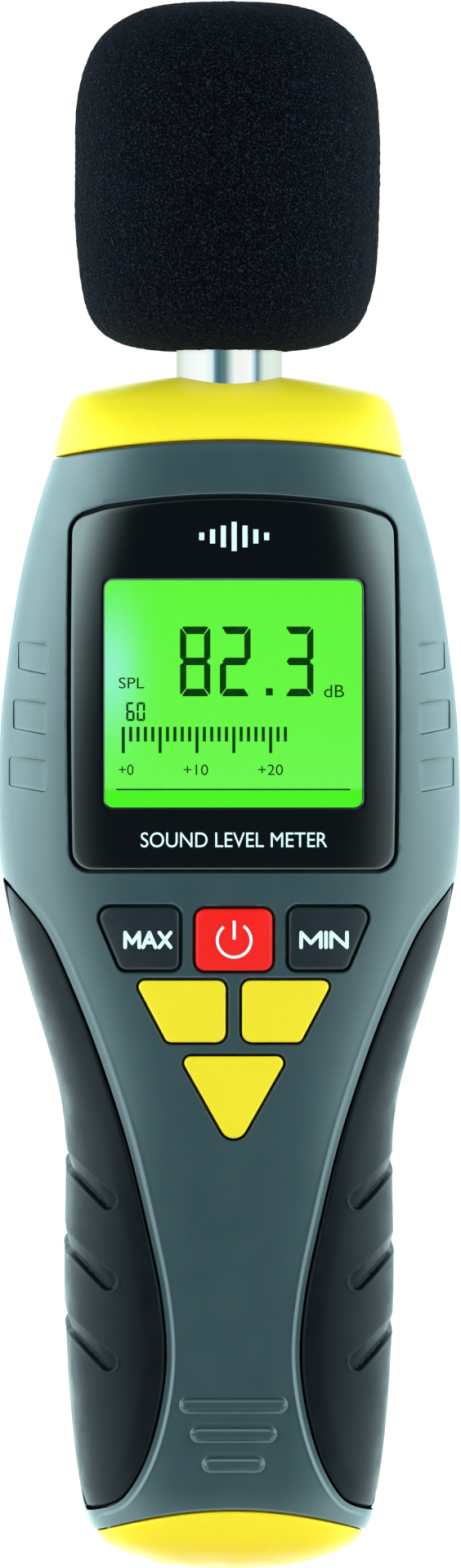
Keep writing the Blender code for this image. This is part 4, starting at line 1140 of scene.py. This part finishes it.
def right_grip():
    levels = level_list([(GRIP_BOTTOM, 8.6, 0.1), (8.6, 22.6, 0.4), (22.6, 52.8, 0.17),
                         (52.8, 81.0, 0.5), (81.0, GRIP_TOP, 0.15)])
    columns = 190
    turns = []
    for z in levels:
        width = float(half_width(z))
        inner_x = np.clip(grip_edge_x(z) - 0.9, 7.3, width * 0.97)
        front = float(turn_from_middle(inner_x, z, FRONT_POWER))
        rear = float(turn_from_middle(width - REAR_REACH, z, BACK_POWER))
        turns.append(even_turns(z, 1 + front, 3 - rear, columns))
    turns = np.array(turns)
    heights = np.repeat(np.array(levels)[:, None], columns, 1)

    def rear_drop(y):
        return REAR_DROP * smooth_step((y - 0.2) / 2.2)

    # behind the side seam the rubber reaches a little lower, so no sight line passes under it
    low = np.clip((10.0 - heights) / (10.0 - GRIP_BOTTOM), 0, 1)
    heights = heights - low * rear_drop(ring_point(heights, turns)[..., 1])
    grid = ring_point(heights, turns)
    x, y, z = grid[..., 0], grid[..., 1], grid[..., 2]
    along = np.concatenate([np.zeros((len(levels), 1)), np.cumsum(
        np.linalg.norm(np.diff(grid, axis=1), axis=-1), 1)], 1)
    edge = np.where(y < 0, edge_distance(x, z), 99.0)
    # rounded rim at the nearest border
    border = np.minimum.reduce([edge, along[:, -1:] - along, GRIP_TOP - z,
                                z - (GRIP_BOTTOM - rear_drop(y)) + GRIP_GAP])
    relief = -0.45 * round_over(border - GRIP_GAP, 0.6)
    relief -= 0.25 * smooth_step((3.0 - edge) / 3.0)
    for base in GROOVE_HEIGHTS:
        relief += groove_relief(grid, base)
    ob = shell("grip_rubber", grid + grid_normals(grid) * relief[..., None], 1.7, angle=50)
    # trim everything inboard of the edge
    edge = offset_edge(-GRIP_GAP)
    outside = np.array([(29.5, 85.4), *edge, (SIDE_CLEAR, edge[-1][1]), (SIDE_CLEAR, -2.0),
                        (-1.0, -2.0), (-1.0, 90.0), (29.5, 90.0)])
    cut(ob, [prism(outside, -30.0, 2.0)], angle=50, use_self=True)
    return ob


def grips():
    """The right grip and its mirror image."""
    right = right_grip()
    left = right.copy()
    left.data = right.data.copy()
    bpy.context.scene.collection.objects.link(left)
    bm = bmesh.new()
    bm.from_mesh(left.data)
    bmesh.ops.scale(bm, vec=(-1, 1, 1), verts=bm.verts)
    bmesh.ops.reverse_faces(bm, faces=bm.faces)
    bm.to_mesh(left.data)
    bm.free()
    left.data.set_sharp_from_angle(angle=radians(50))
    right.name, left.name = "right_grip_rubber", "left_grip_rubber"
    place(right, "housing", "soft_grip", SOFT, "right_grip")
    place(left, "housing", "soft_grip", SOFT, "left_grip")


# ============================================================ end caps
def end_cap(name, seam, top):
    if top:
        levels = level_list([(133.9, 134.6, 0.07), (134.6, 139.0, 0.35), (139.0, 143.7, 0.07)])
    else:
        levels = level_list([(0.0, 3.4, 0.05), (3.4, 4.4, 0.1)])
    columns = 260
    turns = np.array([even_turns(z, 0, 4, columns + 1)[:-1] for z in levels])
    start = np.repeat(np.array(levels)[:, None], columns, 1)
    if top:
        direction, border, lip = 1, 0, (0.93, 0.9, 1.0)
        weight = np.clip((141.0 - start) / (141.0 - levels[0]), 0, 1)
    else:
        direction, border, lip = -1, -1, (0.92, 0.9, 1.0)
        weight = np.clip(start / levels[-1], 0, 1) ** 1.2
    heights = start
    for _ in range(3):
        x = ring_point(heights, turns)[..., 0]
        heights = start + weight * (seam_z(x, seam) + direction * SEAM_GAP - levels[border])
    grid = ring_point(heights, turns)
    drop = 0.3 * round_over(seam_distance(grid[..., 0], grid[..., 2], seam, direction), 0.45)
    grid = grid - grid_normals(grid, wrap=True) * drop[..., None]
    # a short spigot reaches into the housing
    inner = grid[border] * np.array(lip)
    deep = inner - np.array([0, 0, direction * 0.9])
    rings = [deep, inner, *grid] if top else [*grid, inner, deep]
    place(stack(name + "_moulding", rings, angle=50), "housing", "end_cap", YELLOW, name)


# ============================================================ bezel
def radii_along(points, angles, centre):
    """Radius of a closed outline along each angle from the centre."""
    p = np.array(points) - centre
    bearing = np.unwrap(np.arctan2(p[:, 1], p[:, 0]))
    if bearing[-1] < bearing[0]:
        p = p[::-1]
    q = np.roll(p, -1, 0)
    out = []
    for angle in angles:
        dx, dy = cos(angle), sin(angle)
        cross = dx * (q[:, 1] - p[:, 1]) - dy * (q[:, 0] - p[:, 0])
        cross = np.where(np.abs(cross) < 1e-12, 1e-12, cross)
        t = (p[:, 0] * (q[:, 1] - p[:, 1]) - p[:, 1] * (q[:, 0] - p[:, 0])) / cross
        s = (p[:, 0] * dy - p[:, 1] * dx) / cross
        ok = (t > 0) & (s >= -1e-9) & (s <= 1 + 1e-9)
        out.append(t[ok].max() if ok.any() else np.hypot(*p[0]))
    return np.array(out)


def display_bezel():
    """Glossy frame between the bezel outline and the window opening."""
    centre = np.array([0.0, 105.6])
    rim, opening = BEZEL.at(0.0), WINDOW.at(0.0)
    angles = [atan2(z, x) for x, z in np.vstack([rim, opening]) - centre]
    angles = np.unique(np.round(np.array(angles), 4))
    kept = [angles[0]]
    for angle in angles[1:]:
        if angle - kept[-1] > 0.0035:
            kept.append(angle)
    angles = np.array(kept)
    outer, inner = radii_along(rim, angles, centre), radii_along(opening, angles, centre)
    rays = np.stack([np.cos(angles), np.sin(angles)], -1)
    face = 0.05                  # lift of the flat face above the body surface
    # (radius, lift): outer wall and rounded edge, face, rounded inner edge
    sections = [(outer, -1.6), (outer, -0.3)]
    sections += [(outer - inset, lift) for inset, lift in
                 ((0.01, -0.2), (0.05, -0.1), (0.12, -0.02), (0.22, 0.03), (0.36, face))]
    sections += [((outer - 0.36) * (1 - t) + (inner + 0.5) * t, face)
                 for t in np.linspace(0.06, 0.92, 18)]
    sections += [(inner + inset, lift) for inset, lift in
                 ((0.5, face), (0.3, 0.04), (0.14, 0.0), (0.05, -0.08), (0.0, -0.22))]
    rings = [crown_ring(centre + rays * radius[:, None], lift) for radius, lift in sections]
    rings.append(flat_ring(centre + rays * inner[:, None], -11.45))
    ob = closed_band("display_bezel_gloss", np.array(rings), angle=45)
    place(ob, "housing", "bezel", GLOSS, "display_bezel")


# ============================================================ readout and lettering
def on_lcd(x, z):
    return LCD_Y


def thin_sheet(name, shapes, y, thickness=0.03):
    """Thin flat solids from (x, z) shapes, their backs at y."""
    verts, faces = [], []
    for shape in shapes:
        base, count = len(verts), len(shape)
        verts += [(x, y, z) for x, z in shape] + [(x, y - thickness, z) for x, z in shape]
        faces.append([base + k for k in range(count)])
        faces.append([base + count + k for k in range(count)][::-1])
        for k in range(count):
            after = (k + 1) % count
            faces.append([base + k, base + after, base + count + after, base + count + k])
    return mesh_object(name, verts, faces, smooth=False)


def printed(name, shapes, y_of, lift, material, host, slot):
    """Flat ink shapes laid in front of a surface."""
    verts, faces = [], []
    for shape in shapes:
        faces.append([len(verts) + k for k in range(len(shape))])
        verts += [(x, float(y_of(x, z)) - lift, z) for x, z in shape]
    place(mesh_object(name, verts, faces, smooth=False, fix=False), host, slot, material)


def lettering(name, text, box, y_of, material, lift, slot):
    """Font text fitted into a box (x0, x1, z0, z1) and laid on a surface."""
    curve = bpy.data.curves.new(name, "FONT")
    curve.body = text
    curve.resolution_u = 6
    source = bpy.data.objects.new(name + "_src", curve)
    bpy.context.scene.collection.objects.link(source)
    bpy.context.view_layer.update()
    me = bpy.data.meshes.new_from_object(
        source.evaluated_get(bpy.context.evaluated_depsgraph_get()))
    bpy.data.objects.remove(source, do_unlink=True)
    bpy.data.curves.remove(curve)
    flat = np.array([vertex.co[:2] for vertex in me.vertices])
    low, high = flat.min(0), flat.max(0)
    x0, x1, z0, z1 = box
    x = x0 + (flat[:, 0] - low[0]) * ((x1 - x0) / (high[0] - low[0]))
    z = z0 + (flat[:, 1] - low[1]) * ((z1 - z0) / (high[1] - low[1]))
    y = np.broadcast_to(np.asarray(y_of(x, z)) - lift, x.shape)
    for vertex, point in zip(me.vertices, np.stack([x, y, z], -1)):
        vertex.co = point * MM
    me.name = name
    ob = bpy.data.objects.new(name, me)
    bpy.context.scene.collection.objects.link(ob)
    place(ob, "housing", slot, material)


# Lit segments: a top, b and c right, d bottom, e and f left, g middle
SEGMENTS = {"8": "abcdefg", "2": "abged", "3": "abgcd", "6": "acdefg", "0": "abcdef"}


def seven_segment(digit, x0, x1, z0, z1, upright, level):
    """Segments of one digit; upright and level are the stroke widths."""
    middle = (z0 + z1) / 2
    gap, trim = upright * 0.13, upright * 0.32
    taper = upright * 0.42
    out = []
    for segment in SEGMENTS[digit]:
        if segment == "g":
            left, right = x0 + taper, x1 - taper
            upper, lower = middle + level / 2, middle - level / 2
            shape = [(left, middle), (left + taper, upper), (right - taper, upper),
                     (right, middle), (right - taper, lower), (left + taper, lower)]
        elif segment in "ad":
            up, outer = (1, z1) if segment == "a" else (-1, z0)
            inner = outer - up * level
            left, right = x0 + gap * 1.6 + trim, x1 - gap * 1.6 - trim
            shape = [(left, outer), (right, outer),
                     (right + trim * 0.55, outer - up * trim * 0.6),
                     (x1 - upright - gap * 0.4, inner), (x0 + upright + gap * 0.4, inner),
                     (left - trim * 0.55, outer - up * trim * 0.6)]
        else:
            inward, outer = (1, x0) if segment in "ef" else (-1, x1)
            inner = outer + inward * upright
            up, end = (1, z1) if segment in "bf" else (-1, z0)
            shape = [(outer, end - up * (gap * 1.2 + trim)),
                     (outer + inward * trim * 0.6, end - up * (gap * 1.2 + trim * 0.45)),
                     (inner, end - up * (level + gap * 0.9)),
                     (inner, middle + up * (level * 0.5 + gap * 0.6)),
                     ((outer + inner) / 2, middle + up * gap * 1.3),
                     (outer, middle + up * (gap * 1.3 + upright * 0.4))]
        out.append(shape)
    return out


LARGE_DIGITS = [("8", -6.3726, -2.717), ("2", -1.5808, 2.1242), ("3", 6.1256, 9.6824)]
SMALL_DIGITS = [("6", -12.844, -11.8362), ("0", -11.5794, -10.5716)]   # digit, x0, x1
TICK_START, TICK_PITCH, TICK_HALF = -13.1898, 0.886236, 0.19
TICK_TOP, TICK_BOTTOM, LONG_TICK_BOTTOM = 101.3688, 99.5904, 98.2072
SCALE_Z = (95.5594, 96.8536)             # bottom and top of the scale figures
READOUT_TEXTS = [                        # name, text, box (x0, x1, z0, z1)
    ("readout_quantity", "SPL", (-13.7332, -10.6704, 105.963, 107.2968)),
    ("readout_unit", "dB", (10.9668, 13.3775, 104.9256, 106.4076)),
    ("readout_scale_0", "+0", (-13.7332, -11.9548, *SCALE_Z)),
    ("readout_scale_10", "+10", (-5.928, -2.9838, *SCALE_Z)),
    ("readout_scale_20", "+20", (3.0332, 6.0268, *SCALE_Z))]


def readout():
    shapes = []
    for digit, x0, x1 in LARGE_DIGITS:
        shapes += seven_segment(digit, x0, x1, 105.0244, 113.4224, upright=0.76, level=0.92)
    # decimal point
    shapes.append(rectangle(3.952, 4.7918, 106.0124, 105.1232))
    for digit, x0, x1 in SMALL_DIGITS:
        shapes += seven_segment(digit, x0, x1, 102.0604, 104.3328, upright=0.26, level=0.28)
    for k in range(23):
        x = TICK_START + TICK_PITCH * k
        bottom = LONG_TICK_BOTTOM if k % 5 == 0 else TICK_BOTTOM
        shapes.append(rectangle(x - TICK_HALF, x + TICK_HALF, TICK_TOP, bottom))
    # line across the lower part of the display
    shapes.append(rectangle(-14.0296, 14.1284, 93.939, 93.7414))
    place(thin_sheet("readout_segments", shapes, LCD_Y - 0.01), "housing", "lcd", INK)
    for name, text, box in READOUT_TEXTS:
        lettering(name, text, box, on_lcd, INK, lift=0.03, slot="lcd")


def bezel_print():
    """A small level bar chart above the window and a plain caption below it."""
    bars = []
    for k, height in enumerate((0.9, 1.7, 2.6, 3.5, 2.6, 1.7, 0.9)):
        x, z = -3.9 + 1.3 * k, 124.2
        bars.append(rectangle(x - 0.3, x + 0.3, z - height / 2, z + height / 2))
    printed("level_mark", bars, front_surface, 0.09, WHITE_INK, "housing", "bezel")
    lettering("caption", "SOUND LEVEL METER", (-11.2, 11.2, 86.9, 88.7), front_surface,
              WHITE_INK, lift=0.09, slot="bezel")


# Border and rules of the data plate: x0, x1, z0, z1
LABEL_RULES = [(-12.2, 12.2, 120.0, 120.25), (-12.2, 12.2, 107.75, 108.0),
               (-12.2, -11.95, 107.75, 120.25), (11.95, 12.2, 107.75, 120.25),
               (-10.6, 3.5, 117.6, 117.85), (-10.6, 3.5, 115.2, 115.45),
               (-10.6, 3.5, 112.8, 113.05), (-10.6, 10.6, 110.4, 110.65)]


def rear_print():
    """Plain data plate with a patch of upright bars, and an arrow on the door."""
    plate = [rectangle(*rule) for rule in LABEL_RULES]
    for k in range(9):
        x = 5.6 + 0.55 * k
        width = 0.1 + 0.06 * ((k * 7) % 3)
        plate.append(rectangle(x, x + width, 113.0, 117.8))
    printed("label_rules", plate, lambda x, z: 15.52, 0.0, CHIP, "housing", "housing")
    arrow = [[(-1.6, 47.6), (1.6, 47.6), (0.0, 45.2)], rectangle(-0.45, 0.45, 49.6, 47.6)]
    printed("door_arrow", arrow, lambda x, z: 15.66, 0.0, WHITE_INK, "battery_door", "housing")


# ============================================================ keys
def key_caps():
    for name, (_, _, form, material, slot) in KEYS.items():
        lift, edge = form["lift"], form["edge"]
        profile = [(edge * (1 - cos(t)), lift - edge + edge * sin(t))
                   for t in np.linspace(0, pi / 2, 7)]
        ob = pillow(name + "_cap", KEY_OUTLINES[name], profile, inner_rings=9, deep=2.2,
                    dome=form["dome"], angle=60)
        place(ob, name, slot, material, name)


# Letters: width, then pen lines, for a height of 1
STROKES = {
    "M": (1.12, [[(0, 0), (0, 1), (0.56, 0.28), (1.12, 1), (1.12, 0)]]),
    "A": (1.0, [[(0, 0), (0.5, 1), (1.0, 0)], [(0.19, 0.33), (0.81, 0.33)]]),
    "X": (0.9, [[(0, 0), (0.9, 1)], [(0, 1), (0.9, 0)]]),
    "I": (0.0, [[(0, 0), (0, 1)]]),
    "N": (0.9, [[(0, 0), (0, 1), (0.9, 0), (0.9, 1)]]),
}


def stroke_word(word, x0, x1, z0, z1, pen=0.45, spacing=0.3):
    """Lettering drawn with one round-ended pen, fitted into a box."""
    total = sum(STROKES[c][0] for c in word) + spacing * (len(word) - 1)
    height = z1 - z0 - pen
    stretch = (x1 - x0 - pen) / total
    out, start = [], 0.0
    for letter in word:
        width, lines = STROKES[letter]
        for line in lines:
            points = [np.array([x0 + pen / 2 + (start + a) * stretch, z0 + pen / 2 + b * height])
                      for a, b in line]
            for a, b in zip(points[:-1], points[1:]):
                t = (b - a) / np.linalg.norm(b - a)
                side = np.array([-t[1], t[0]]) * pen / 2
                out.append([tuple(p) for p in (a - side, b - side, b + side, a + side)])
            for a in points:
                out.append([(a[0] + pen / 2 * cos(k * pi / 6), a[1] + pen / 2 * sin(k * pi / 6))
                            for k in range(12)])
        start += width + spacing
    return out


def power_symbol(z=75.75, inner=1.86, outer=2.2):
    """Open ring with an upright bar in its gap."""
    out = []
    for degrees in np.arange(-232, 52, 6.0):
        a, b = radians(degrees), radians(degrees + 6.0)
        out.append([(r * cos(t), z + r * sin(t))
                    for r, t in ((inner, a), (outer, a), (outer, b), (inner, b))])
    out.append(rectangle(-0.18, 0.18, z + 0.1, z + 2.35))
    return out


def key_legends():
    z0, z1 = 74.6928, 76.896
    legends = [("max", stroke_word("MAX", -13.2904, -7.4019, z0, z1)),
               ("min", stroke_word("MIN", 7.833, 13.8104, z0, z1)),
               ("power", power_symbol())]
    # printed level with the top of the dome
    top = UPPER_FORM["lift"] + UPPER_FORM["dome"]
    for word, shapes in legends:
        key = "key_" + word
        printed("legend_" + word, shapes, lambda x, z: front_surface(x, z, top), 0.02,
                WHITE_INK, key, KEYS[key][-1])


# ============================================================ microphone and windscreen
def rounded_profile(points, radius, segments):
    """Round the corners of an open (radius, z) profile."""
    out = [points[0]]
    for a, p, b in zip(points[:-2], points[1:-1], points[2:]):
        a, p, b = Vector(a), Vector(p), Vector(b)
        u, v = a - p, b - p
        reach = min(radius, u.length * 0.45, v.length * 0.45)
        s, e = p + u.normalized() * reach, p + v.normalized() * reach
        for k in range(segments + 1):
            t = k / segments
            out.append(tuple(s * (1 - t) ** 2 + p * 2 * t * (1 - t) + e * t * t))
    out.append(points[-1])
    return out


def microphone_tube():
    profile = rounded_profile(
        [(5.5, 129.0), (8.4, 129.0), (8.4, 130.6), (6.35, 130.6), (6.35, 165.6), (5.95, 166.0),
         (5.5, 166.0)], radius=0.12, segments=4)
    ob = closed_band("microphone_tube_turned", revolve(profile, 128), angle=35)
    place(ob, "housing", "bright_metal", CHROME, "microphone_tube")


BORE_RADIUS, BORE_TOP = 6.6, 172.4
# Outside of the foam from the mouth of the bore up to the crown: (radius, z)
FOAM_PROFILE = [
    (BORE_RADIUS, 147.2), (6.85, 146.85), (8.5, 146.8), (11.3, 147.2), (13.6, 148.0),
    (15.3, 149.2), (16.4, 150.6), (17.1, 152.3), (17.6, 154.2), (17.98, 156.6), (18.2, 159.2),
    (18.34, 162.2), (18.42, 165.5), (18.42, 170.5), (18.3, 174.5), (18.05, 177.6),
    (17.55, 180.1), (16.75, 182.3), (15.7, 184.1), (14.35, 185.6), (12.6, 186.9),
    (10.5, 187.85), (8.0, 188.45), (5.0, 188.75), (2.4, 188.83), (0.02, 188.84)]


def value_noise(points, scale, seed):
    """Smooth lattice noise in -1..1."""
    q = points * scale
    cell = np.floor(q).astype(np.int64)
    f = q - cell
    f = f * f * (3 - 2 * f)
    out = np.zeros(points.shape[:-1])
    for dx, dy, dz in np.ndindex(2, 2, 2):
        k = ((cell[..., 0] + dx) * 73856093) ^ ((cell[..., 1] + dy) * 19349663) ^ (
            (cell[..., 2] + dz) * 83492791) ^ seed
        k = (k ^ (k >> 13)) * 1274126177
        value = ((k ^ (k >> 16)) & 0xFFFF) / 32767.5 - 1
        weight = 1.0
        for axis, far in enumerate((dx, dy, dz)):
            weight = weight * (f[..., axis] if far else 1 - f[..., axis])
        out += value * weight
    return out


def windscreen():
    bore = [(BORE_RADIUS, z) for z in np.linspace(BORE_TOP, 147.5, 60)]
    curve = np.array(bore + curve_through(FOAM_PROFILE, 12))
    length = running_length(curve)
    rows, columns = int(length[-1] / 0.3), 340
    along = np.linspace(0, length[-1], rows)
    grid = revolve(np.stack([np.interp(along, length, curve[:, i]) for i in (0, 1)], -1),
                   columns)
    normals = grid_normals(grid, wrap=True)
    # the bore stays smooth and centred; the outside is rough and sits slightly to the left
    outside = smooth_step((along - 25.2) / 1.2)[:, None]
    rough = (0.06 * value_noise(grid, 1.9, 11) + 0.05 * value_noise(grid, 3.6, 29)
             + 0.1 * value_noise(grid, 0.16, 5) - 0.02) * outside
    grid = grid + normals * rough[..., None]
    grid[..., 0] -= 0.22 * outside
    faces = grid_faces(rows, columns, wrap=True)
    faces.append([(rows - 1) * columns + k for k in range(columns)][::-1])
    # blind end of the bore
    faces.append(list(range(columns)))
    foam = mesh_object("windscreen_foam", grid.reshape(-1, 3), faces)
    place(foam, "windscreen", "foam", FOAM, "windscreen")


# ============================================================ CAD pieces that stay
KEPT_PIECES = [
    (GLASS, "display_window"), (LCD, "lcd_panel"), (PLATE, "backlight_panel"),
    (RUBBER, "lcd_frame microphone_bush battery_snap"),
    (SILICONE, "zebra_strip keypad_membrane"), (BOARD, "main_board"),
    (CHIP, "controller_chip amplifier_chip"), (TRIMMER, "trimmer_body"),
    (BRASS, "trimmer_rotor tube_nut tripod_insert"), (CHROME, "microphone_grid"),
    (ZINC, "crystal_can microphone_capsule battery_terminal_positive"
           " battery_terminal_negative"
           " case_screw_1 case_screw_2 case_screw_3 case_screw_4"
           " board_screw_1 board_screw_2 board_screw_3 board_screw_4"),
    (WIRE_BLACK, "microphone_cable battery_lead_2"), (WIRE_RED, "battery_lead_1"),
    (FOAM, "battery_pad"), (JACKET, "battery_9v"), (LABEL, "rear_label")]


def finish_kept_pieces():
    for material, names in KEPT_PIECES:
        for name in names.split():
            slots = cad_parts[name].data.materials
            if slots:
                for i in range(len(slots)):
                    slots[i] = material
            else:
                slots.append(material)


# ============================================================ stage, light, camera
WALL_STRENGTH, BASE_STRENGTH = 6.6, 0.03
# The side walls fade between these shares of looking straight towards the camera.
FADE_START, FADE_END = 0.5, 0.95
WHITE_STRENGTH = 1.05            # background and floor as the camera sees them
LIGHT_TARGET = (0, 0, 0.10)
# Area lights: name, location, width, height, power in watts
SOFTBOXES = [("fill", (-0.25, -1.6, 0.12), 0.9, 0.7, 1.0),
             ("side_left", (-0.9, -0.12, 0.16), 0.5, 0.9, 1.8),
             ("side_right", (0.9, -0.12, 0.16), 0.5, 0.9, 1.8),
             ("rear", (0.0, 1.4, 0.15), 0.9, 0.9, 7.0)]


def studio_world(scene):
    """Two broad side walls of light that fade towards the camera, the top and the rear."""
    world = bpy.data.worlds.new("studio")
    scene.world = world
    g = Graph(world)
    ray = g.separate(g.node("TexCoord").outputs["Generated"])

    def step(value, low, high):
        return g.map_range(value, low, high, interpolation="SMOOTHSTEP")

    towards_camera = g.math("MULTIPLY", ray["Y"], -1.0)
    side = g.math("SUBTRACT", 1.0, step(towards_camera, FADE_START, FADE_END))
    rear = g.math("SUBTRACT", 1.0, g.math("MULTIPLY", step(ray["Y"], 0.1, 0.9), 0.6))
    height = g.math("MULTIPLY", step(ray["Z"], -0.25, 0.2),
                    g.math("SUBTRACT", 1.0, step(ray["Z"], 0.3, 0.8)))
    walls = g.math("MULTIPLY", g.math("MULTIPLY", side, rear), height)
    strength = g.math("ADD", g.math("MULTIPLY", walls, WALL_STRENGTH), BASE_STRENGTH)
    light = g.tree.nodes["Background"]
    g.feed(light, {"Color": (0.70, 1.0, 1.02, 1), "Strength": strength})
    white = g.node("Background", {"Color": (1, 1, 1, 1), "Strength": WHITE_STRENGTH})
    seen = g.node("LightPath").outputs["Is Camera Ray"]
    g.surface(g.mix_shader(seen, light.outputs[0], white.outputs[0]), "World Output")


def floor_material():
    """White to the camera, a continuation of the side walls to mirror rays."""
    g = material_graph("floor_white")
    base = g.principled({
        "Base Color": g.ramp(g.noise(6.0, detail=2.0, roughness=0.5),
                             [(0.3, (0.42,) * 3), (0.7, (0.47,) * 3)]),
        "Roughness": 0.8,
        "Emission Color": (1.0, 0.99, 0.95, 1), "Emission Strength": 0.42})
    white = g.node("Emission", {"Strength": WHITE_STRENGTH}).outputs[0]
    path = g.node("LightPath").outputs
    incoming = g.separate(g.node("NewGeometry").outputs["Incoming"])
    strength = g.map_range(incoming["Y"], from_min=FADE_START, from_max=FADE_END,
                           to_min=3.5, to_max=0.05, interpolation="SMOOTHSTEP")
    walls = g.node("Emission", {"Color": (0.75, 1.0, 1.0, 1), "Strength": strength}).outputs[0]
    unseen = g.mix_shader(path["Is Glossy Ray"], base, walls)
    g.surface(g.mix_shader(path["Is Camera Ray"], unseen, white))
    return g.owner


def studio_floor(scene):
    half, z = 3.0, -0.0004
    me = bpy.data.meshes.new("floor")
    me.from_pydata([(x, y, z) for x, y in rectangle(-half, half, -half, half)], [],
                   [(0, 1, 2, 3)])
    floor = bpy.data.objects.new("floor", me)
    scene.collection.objects.link(floor)
    me.materials.append(floor_material())


def aim(ob, direction):
    """Point a light or camera along a direction."""
    ob.rotation_euler = direction.to_track_quat("-Z", "Y").to_euler()


def softbox(scene, name, location, width, height, power):
    light = bpy.data.lights.new(name, "AREA")
    light.shape = "RECTANGLE"
    light.size, light.size_y = width, height
    light.energy = power
    ob = bpy.data.objects.new(name, light)
    scene.collection.objects.link(ob)
    ob.location = location
    aim(ob, Vector(LIGHT_TARGET) - Vector(location))
    ob.visible_glossy = False
    ob.visible_transmission = False
    ob.visible_camera = False


def front_camera(scene):
    """Long lens, turned slightly to the left of the front."""
    cam = bpy.data.cameras.new("camera")
    cam.lens = 500.0
    cam.sensor_width = 36.0
    cam.sensor_fit = "AUTO"
    cam.clip_start, cam.clip_end = 0.05, 20.0
    ob = bpy.data.objects.new("camera", cam)
    scene.collection.objects.link(ob)
    half_view = 0.09446          # half the longer side of the view, at the target
    distance = half_view / (cam.sensor_width / 2 / cam.lens)
    yaw = radians(-2.2)
    back = Vector((sin(yaw), -cos(yaw), 0.0))
    ob.location = Vector((0.0, -0.004, 0.0945)) + back * distance
    aim(ob, -back)
    scene.camera = ob


def build_stage():
    scene = bpy.context.scene
    scene.view_settings.view_transform = "Standard"
    scene.view_settings.look = "None"
    scene.view_settings.exposure = 0.0
    scene.view_settings.gamma = 1.0
    studio_world(scene)
    studio_floor(scene)
    for row in SOFTBOXES:
        softbox(scene, *row)
    front_camera(scene)


# ============================================================ build
front_cover()
rear_cover()
battery_door()
joint_screens()
grips()
end_cap("top_cap", TOP_SEAM, top=True)
end_cap("bottom_cap", BOTTOM_SEAM, top=False)
display_bezel()
readout()
bezel_print()
rear_print()
key_caps()
key_legends()
microphone_tube()
windscreen()
finish_kept_pieces()
build_stage()
